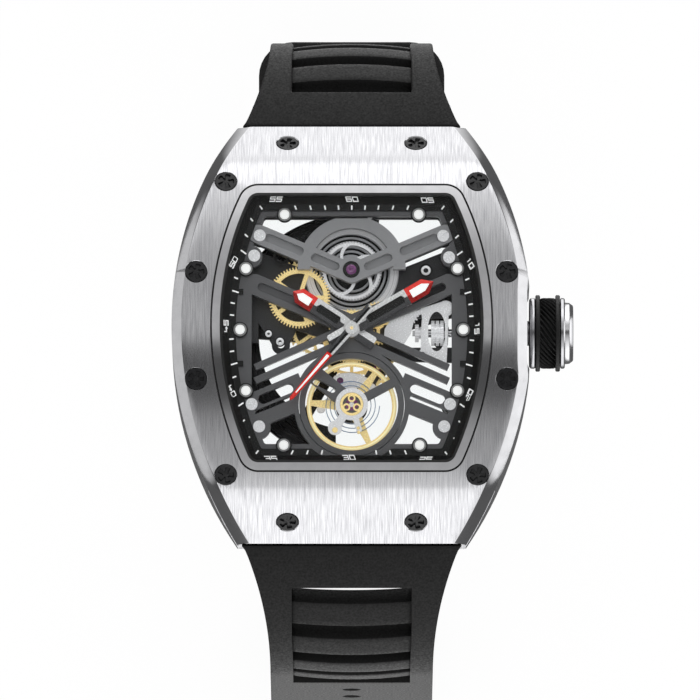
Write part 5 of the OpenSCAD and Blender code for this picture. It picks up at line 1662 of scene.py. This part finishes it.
    def dot(self, r0: float, r1: float, top: float) -> bpy.types.Object:
        """Builds a ring or a button about its own axis.

        Args:
            r0: Inner radius, or 0 for a button.
            r1: Outer radius.
            top: Its height.
        Returns:
            The template.
        """
        shell = Shell()
        if r0 > 0:
            profile = [(r0, 0.0), (r1, 0.0), (r1, top - 0.05), (r1 - 0.05, top), (r0, top)]
            shell.lathe(profile, None, 40, ring=True)
        else:
            shell.lathe([(r1, 0.0), (r1, top - 0.06), (r1 - 0.07, top)], None, 40)
        return shell.make("dot_template", (LUME,))

    def build(self) -> None:
        """Builds the flange's dressing and seats it on the head."""
        seats = [Matrix.Translation((sx * x, y, S.track_z)) for x, y in self.dots for sx in (-1, 1)]
        rings = self.copies.make("dot_rings", self.dot(0.58, 0.79, 0.27), seats, GREY_PRINT)
        buttons = self.copies.make("dot_buttons", self.dot(0.0, 0.57, 0.29), seats, LUME)
        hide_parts("lume_dots")
        for piece in (rings, buttons, self.marks(), self.numbers()):
            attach(piece, "head")
            report("flange", piece)


# Movement

@dataclass
class Movement:
    """Fine parts of the movement over the frame's plates and wheels."""
    flange: Flange
    barrel: tuple[float, float] = (0.0, 7.35)
    reduction: tuple[float, float] = (-6.3, 4.1)
    teeth: int = 60

    def at(self, px: float, py: float, z: float) -> Matrix:
        """Place on a level that is seen at a pixel of the photograph.

        Args:
            px: Column in the photograph.
            py: Row in the photograph.
            z: Height of the level.
        Returns:
            The place.
        """
        x, y = self.flange.spot(px, py, z)
        return Matrix.Translation((x, y, z))

    def traced(self, places: Sequence[Point], z: float) -> Sequence[Point]:
        """Outline through pixels of the photograph on a level.

        Args:
            places: Column and row of each corner.
            z: Height of the level.
        Returns:
            Corners, anticlockwise.
        """
        return anticlockwise([self.flange.spot(px, py, z) for px, py in places])

    def teeth_ring(self) -> bpy.types.Object:
        """Builds the tall teeth round the reduction wheel's rim.

        Returns:
            The ring of teeth.
        """
        shell = Shell()
        x0, y0 = self.reduction
        step = 2 * math.pi / self.teeth
        outer, inner = [], []
        for k in range(self.teeth):
            for share, r in ((-0.27, 3.38), (-0.16, 3.72), (0.16, 3.72), (0.27, 3.38)):
                a = (k + share) * step
                outer.append((x0 + r * math.cos(a), y0 + r * math.sin(a)))
                inner.append((x0 + 2.98 * math.cos(a), y0 + 2.98 * math.sin(a)))
        rows = [shell.row((x, y, z) for x, y in line) for line, z in (
            (outer, 8.03), (outer, 8.31), (inner, 8.31), (inner, 8.03))]
        shell.bands(rows, wrap=True)
        return shell.make("reduction_teeth", (GILT,))

    def spring(self) -> bpy.types.Object:
        """Builds the mainspring as a flat band wound out in the drum.

        Returns:
            The spring's band.
        """
        shell = Shell()
        x0, y0 = self.barrel
        low, high = (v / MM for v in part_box("mainspring"))
        turns, steps, r0, r1, wide = 5.5, 330, 1.75, 4.7, 0.27
        rows = []
        for k in range(steps + 1):
            a = 2 * math.pi * turns * k / steps
            r = r0 + (r1 - r0) * k / steps
            c, s = math.cos(a), math.sin(a)
            rows.append(shell.row((x0 + q * c, y0 + q * s, z) for q, z in (
                (r, low.z), (r + wide, low.z), (r + wide, high.z), (r, high.z))))
        shell.bands(rows)
        shell.face(rows[0][::-1])
        shell.face(rows[-1])
        return shell.make("mainspring_coil", (SPRING,))

    def drum_shade(self) -> bpy.types.Object:
        """Builds a black floor under the coils: painted shade in the gaps between them.

        Returns:
            The floor of the drum.
        """
        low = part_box("mainspring")[0].z / MM
        shell = Shell()
        shell.lathe([(1.2, low - 0.04), (5.0, low - 0.04), (5.0, low - 0.015), (1.2, low - 0.015)],
                    Matrix.Translation((*self.barrel, 0)), 64, ring=True)
        return shell.make("drum_floor_oil", (SEAL_RUBBER_AND_PAINTED_SHADE,))

    def studs(self) -> bpy.types.Object:
        """Builds the turned studs and rings on the plates.

        Returns:
            The studs.
        """
        shell = Shell()
        for px, py, z, r, bore in ((280, 341.7, 8.2, 0.47, 0.2), (268.5, 333.7, 8.2, 0.4, 0.16),
                                   (426, 270.4, 8.4, 0.58, 0.3), (335, 430, 9.55, 0.36, 0.0)):
            profile = [(bore, -0.2), (r, -0.2), (r, 0.05), (r - 0.08, 0.1), (bore, 0.1)]
            shell.lathe(profile, self.at(px, py, z), 36, ring=True)
        return shell.make("plate_studs", (RHODIUM,))

    def painted_shade_rings(self) -> bpy.types.Object:
        """Builds black rings round studs and jewels: painted shade for their sinks.

        Returns:
            The rings of painted shade.
        """
        shell = Shell()
        for px, py, z, r0, r1 in ((280, 341.7, 8.15, 0.47, 0.62), (268.5, 333.7, 8.15, 0.4, 0.55),
                                  (426, 270.4, 8.35, 0.58, 0.8), (351.3, 269.4, 9.5, 0.62, 1.02),
                                  (281.5, 256, 8.35, 0.7, 1.03)):
            profile = [(r0, -0.1), (r1, -0.1), (r1, 0.035), (r0, 0.035)]
            shell.lathe(profile, self.at(px, py, z), 40, ring=True)
        return shell.make("dark_sinks", (SEAL_RUBBER_AND_PAINTED_SHADE,))

    def brass(self) -> bpy.types.Object:
        """Builds the regulator's brass screws and pins.

        Returns:
            The screws and pins.
        """
        shell = Shell()
        for px, py, r in ((335, 430, 0.34), (358.3, 428, 0.2), (358.8, 432.3, 0.2)):
            shell.lathe([(r, -0.1), (r, 0.1), (r - 0.07, 0.16)], self.at(px, py, 9.75), 28)
        return shell.make("regulator_brass", (GILT,))

    def rim_line(self) -> bpy.types.Object:
        """Builds the polished line on the balance's rim.

        Returns:
            The line on the rim.
        """
        low, high = (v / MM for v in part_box("balance_wheel"))
        x0, y0, top = (low.x + high.x) / 2, (low.y + high.y) / 2, high.z
        shell = Shell()
        shell.lathe([(5.02, top - 0.1), (5.02, top + 0.02), (5.1, top + 0.09), (5.24, top + 0.09),
                     (5.32, top + 0.02), (5.32, top - 0.1)], Matrix.Translation((x0, y0, 0)), 120, ring=True)
        return shell.make("balance_rim_line", (BRIGHT_GILT,), 60)

    def shade(self) -> bpy.types.Object:
        """Builds a black sheet behind the winding stack: painted shade.

        Returns:
            The plate.
        """
        shell = Shell()
        places = ((435, 309), (444, 311), (449, 328), (448, 345), (440, 352), (433, 343), (431, 322))
        shell.plate(self.traced(places, 5.1), 4.9, 5.1, 0.05)
        return shell.make("stack_shade", (SEAL_RUBBER_AND_PAINTED_SHADE,))

    def cock(self) -> bpy.types.Object:
        """Builds the silver pallet cock behind the balance.

        Returns:
            The cock.
        """
        shell = Shell()
        places = ((331, 383), (334, 376), (341, 373), (350, 372), (360, 374), (368, 378), (371, 385),
                  (366, 391), (357, 388), (350, 391), (342, 393), (334, 390))
        shell.plate(self.traced(places, 7.2), 6.9, 7.22, 0.08)
        for px, py, r in ((371.3, 388.4, 0.62), (321, 409, 0.5), (328, 402, 0.45)):
            shell.lathe([(r, -0.3), (r, 0.06), (r - 0.08, 0.12)], self.at(px, py, 7.2), 32)
        return shell.make("pallet_cock", (RHODIUM,))

    def stones(self) -> bpy.types.Object:
        """Builds the domed jewels that show from the front.

        Returns:
            The jewels.
        """
        shell = Shell()
        for px, py, z, r in ((351.3, 269.4, 9.5, 0.6), (340.2, 380.6, 7.22, 0.4)):
            shell.lathe([(r, -0.1), (r, 0.03), (r * 0.8, 0.09), (r * 0.35, 0.07), (r * 0.3, 0.03)],
                        self.at(px, py, z), 36)
        return shell.make("front_jewels", (RUBY,), 60)

    def build(self) -> None:
        """Builds the parts and seats each on its body."""
        coil = self.spring()
        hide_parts("mainspring")
        pieces = ((coil, "barrel", "spring_steel"), (self.drum_shade(), "barrel", "steel_dark"),
                  (self.teeth_ring(), "reduction_wheel", "gilt"), (self.studs(), "head", "steel_polished"),
                  (self.painted_shade_rings(), "head", "seal"), (self.brass(), "head", "gilt"),
                  (self.cock(), "head", "steel_polished"), (self.stones(), "head", "ruby"),
                  (self.rim_line(), "balance", "gilt"), (self.shade(), "head", "seal"))
        for piece, body, slot in pieces:
            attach(piece, body)
            report("movement", piece)


# Frame parts that keep their shape

DRESS: dict[str, Finish | ClearSapphire] = {
    "inner_rim": POLISHED, "case_middle": SATIN, "case_back": SATIN, "crystal": ClearSapphire(),
    "back_crystal": ClearSapphire(), "crystal_gasket": SEAL_RUBBER_AND_PAINTED_SHADE, "back_gasket": SEAL_RUBBER_AND_PAINTED_SHADE,
    "back_screws": POLISHED, "minute_flange": BLACK_LACQUER, "movement_ring": RHODIUM,
    "winding_stem": POLISHED, "crown_tube": SATIN, "clutch_wheel": RHODIUM, "crown_wheel": RHODIUM,
    "setting_lever": RHODIUM, "setting_plate": RHODIUM, "strap_pins": POLISHED, "buckle_frame": SATIN,
    "buckle_tang": SATIN, "buckle_bar": POLISHED, "cannon_pinion": RHODIUM, "hour_wheel": GILT,
    "minute_wheel": GILT, "setting_wheel": RHODIUM, "barrel_drum": TURNED_DRUM, "barrel_arbor": RHODIUM,
    "mainspring": SPRING, "ratchet_wheel": RHODIUM, "reduction_wheel": GILT, "center_wheel": GILT,
    "third_wheel": GILT, "fourth_wheel": GILT, "escape_wheel": GILT, "pallet_fork": RHODIUM,
    "balance_wheel": GILT, "balance_staff": RHODIUM, "hairspring": BLUED, "balance_bridge": RUTHENIUM,
    "regulator": RHODIUM, "shock_spring": GILT, "main_plate": DARK_PLATE, "skeleton_plate": RUTHENIUM,
    "barrel_bridge": SATIN_NICKEL, "train_bridge": DARK_PLATE, "bridge_screws": RHODIUM, "jewels": RUBY,
    "rotor": ROTOR_BLACK, "rotor_bearing": RHODIUM,
}


def dress_frame() -> None:
    """Gives each carried-over node its finish."""
    for name, finish in DRESS.items():
        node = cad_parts[name]
        material = finish.build()
        if not node.data.materials:
            node.data.materials.append(material)
        for k in range(len(node.data.materials)):
            node.data.materials[k] = material
        for slot in node.material_slots:
            slot.material = material
    LOG.info("dressed %d frame nodes", len(DRESS))


# Studio

@dataclass
class Studio:
    """Pale floor, soft world light, lamps and the camera at the photograph's angle."""
    floor_z: float = -68.0
    elevation: float = 82.0
    distance: float = 3.0
    width: float = 84.0
    aim: tuple[float, float, float] = (-0.2, -2.42, 9.5)
    level: float = 1.35

    def floor(self) -> None:
        """Builds the floor, white to the camera and in reflections."""
        mesh = bpy.data.meshes.new("floor")
        r, z = 4.0, (self.floor_z - 0.05) * MM
        mesh.from_pydata([(-r, -r, z), (r, -r, z), (r, r, z), (-r, r, z)], [], [(0, 1, 2, 3)])
        material = bpy.data.materials.new("pale_floor")
        material.use_nodes = True
        tree = material.node_tree
        tree.nodes.clear()
        path = add(tree, "ShaderNodeLightPath")
        seen = add(tree, "ShaderNodeMath", {0: path.outputs["Is Camera Ray"],
                                            1: path.outputs["Is Glossy Ray"]}, operation="MAXIMUM")
        seen = add(tree, "ShaderNodeMath", {0: seen.outputs[0], 1: path.outputs["Is Transmission Ray"]},
                   operation="MAXIMUM")
        part = add(tree, "ShaderNodeMath", {0: seen.outputs[0], 1: 0.9}, operation="MULTIPLY")
        pale = add(tree, "ShaderNodeBsdfDiffuse", {"Color": (0.92, 0.92, 0.92, 1)})
        spot = add(tree, "ShaderNodeSeparateXYZ", {0: add(tree, "ShaderNodeTexCoord").outputs["Object"]})
        far = [add(tree, "ShaderNodeMath", {0: spot.outputs[k]}, operation="ABSOLUTE") for k in (0, 1)]
        ratio = add(tree, "ShaderNodeMath", {0: far[0].outputs[0], 1: far[1].outputs[0]}, operation="DIVIDE")
        corner = add(tree, "ShaderNodeMapRange", {
            "Value": ratio.outputs[0], "From Min": 0.3, "From Max": 0.5, "To Min": 2.1, "To Max": 0.1})
        level = add(tree, "ShaderNodeMix", {"Factor": path.outputs["Is Glossy Ray"], 2: 1.03,
                                            3: corner.outputs[0]})
        white = add(tree, "ShaderNodeEmission", {"Color": (1, 1, 1, 1), "Strength": level.outputs[0]})
        mixed = add(tree, "ShaderNodeMixShader", {0: part.outputs[0], 1: pale.outputs[0],
                                                  2: white.outputs[0]})
        add(tree, "ShaderNodeOutputMaterial", {"Surface": mixed.outputs[0]})
        mesh.materials.append(material)
        thing = bpy.data.objects.new("floor", mesh)
        bpy.context.scene.collection.objects.link(thing)

    def fill(self, ramp: bpy.types.Node, stops: Sequence[tuple[float, float]]) -> None:
        """Sets a colour ramp's grey stops.

        Args:
            ramp: The colour ramp node.
            stops: Position and level of each stop.
        """
        dots = ramp.color_ramp.elements
        while len(dots) < len(stops):
            dots.new(0.5)
        for dot, (position, level) in zip(dots, stops):
            dot.position = position
            dot.color = (level, level, level, 1)

    def world(self) -> None:
        """Builds a soft studio: bright walls, a darker patch overhead and a darker left side."""
        world = bpy.data.worlds.new("studio")
        world.use_nodes = True
        bpy.context.scene.world = world
        tree = world.node_tree
        tree.nodes.clear()
        way = add(tree, "ShaderNodeSeparateXYZ", {0: add(tree, "ShaderNodeTexCoord").outputs["Generated"]})
        lean = add(tree, "ShaderNodeMath", {0: way.outputs["Y"], 1: way.outputs["Z"]}, operation="ARCTAN2")
        share = add(tree, "ShaderNodeMapRange", {
            "Value": lean.outputs[0], "From Min": -math.pi / 2, "From Max": math.pi / 2})
        ramp = add(tree, "ShaderNodeValToRGB", {0: share.outputs[0]})
        stops = ((-90, 1.15), (-76, 1.2), (-42, 0.8), (-24, 0.48), (-15, 0.38), (-9, 0.1), (3, 0.08),
                 (5, 0.56), (13, 0.54), (21, 0.44), (28, 0.54), (36, 0.85), (43, 1.1), (62, 1.25), (90, 1.3))
        peak = 1.5
        self.fill(ramp, [((angle + 90) / 180, level / peak) for angle, level in stops])
        side = add(tree, "ShaderNodeMapRange", {"Value": way.outputs["X"], "From Min": -1, "From Max": 1})
        round_ramp = add(tree, "ShaderNodeValToRGB", {0: side.outputs[0]})
        walls = ((-1, 0.62), (-0.8, 0.6), (-0.7, 0.08), (-0.5, 0.08), (-0.35, 1.0), (0.35, 1.0), (0.5, 0.1),
                 (0.7, 0.12), (0.8, 1.0), (1, 1.1))
        self.fill(round_ramp, [((across + 1) / 2, level) for across, level in walls])
        high = add(tree, "ShaderNodeMapRange", {
            "Value": way.outputs["Z"], "From Min": 0.45, "From Max": 0.7})
        wall = add(tree, "ShaderNodeMix", {"Factor": high.outputs[0], 2: round_ramp.outputs[0], 3: 1.0})
        flank = add(tree, "ShaderNodeMath", {0: way.outputs["X"]}, operation="ABSOLUTE")
        past = add(tree, "ShaderNodeMapRange", {
            "Value": flank.outputs[0], "From Min": 0.78, "From Max": 0.88})
        lengthwise = add(tree, "ShaderNodeMix", {"Factor": past.outputs[0], 2: ramp.outputs[0], 3: 0.8})
        shade = add(tree, "ShaderNodeMath", {0: lengthwise.outputs[0], 1: wall.outputs[0]},
                    operation="MULTIPLY")
        level = add(tree, "ShaderNodeMath", {0: shade.outputs[0], 1: peak * self.level},
                    operation="MULTIPLY")
        light = add(tree, "ShaderNodeBackground", {"Color": (1, 1, 1, 1), "Strength": level.outputs[0]})
        white = add(tree, "ShaderNodeBackground", {"Color": (1, 1, 1, 1), "Strength": 1.0})
        seen = add(tree, "ShaderNodeLightPath").outputs["Is Camera Ray"]
        mixed = add(tree, "ShaderNodeMixShader", {0: seen, 1: light.outputs[0], 2: white.outputs[0]})
        add(tree, "ShaderNodeOutputWorld", {"Surface": mixed.outputs[0]})

    def lamp(self, name: str, at: Point, power: float, size: float) -> None:
        """Adds a soft square lamp that looks at the dial.

        Args:
            name: Name of the lamp.
            at: Its place in metres.
            power: Its power in watts.
            size: Its side in metres.
        """
        data = bpy.data.lights.new(name, "AREA")
        data.energy, data.size = power, size
        thing = bpy.data.objects.new(name, data)
        thing.location = at
        thing.rotation_euler = (Vector((0, 0, 0.01)) - Vector(at)).to_track_quat("-Z", "Y").to_euler()
        bpy.context.scene.collection.objects.link(thing)

    def camera(self) -> None:
        """Sets the camera at the photograph's angle, far off with a long lens."""
        data = bpy.data.cameras.new("camera")
        data.sensor_width = 36.0
        data.lens = 36.0 * self.distance / (self.width * MM)
        data.clip_start, data.clip_end = 0.1, 50.0
        thing = bpy.data.objects.new("camera", data)
        tilt = math.radians(self.elevation)
        aim = Vector(self.aim) * MM
        thing.location = aim + Vector((0, -math.cos(tilt), math.sin(tilt))) * self.distance
        thing.rotation_euler = (aim - thing.location).to_track_quat("-Z", "Y").to_euler()
        bpy.context.scene.collection.objects.link(thing)
        bpy.context.scene.camera = thing

    def build(self) -> None:
        """Builds the studio and sets the view."""
        self.floor()
        self.world()
        self.lamp("top_lamp", (0.05, 0.45, 0.22), 0.2, 0.3)
        self.lamp("low_lamp", (-0.05, -0.45, 0.16), 0.15, 0.3)
        self.camera()
        bpy.context.scene.view_settings.view_transform = "Standard"
        LOG.info("studio ready")


def main() -> None:
    """Builds the sub-assemblies in order and reports each piece."""
    logging.basicConfig(level=logging.INFO, format="%(message)s")
    copies, turned = Copies(), TurnedCopies()
    Studio().build()
    dress_frame()
    Case(copies).build()
    Wristband().build()
    Crown(turned).build()
    flange = Flange(copies)
    flange.build()
    Movement(flange).build()
    Hands().build()


if __name__ == "__main__":
    main()
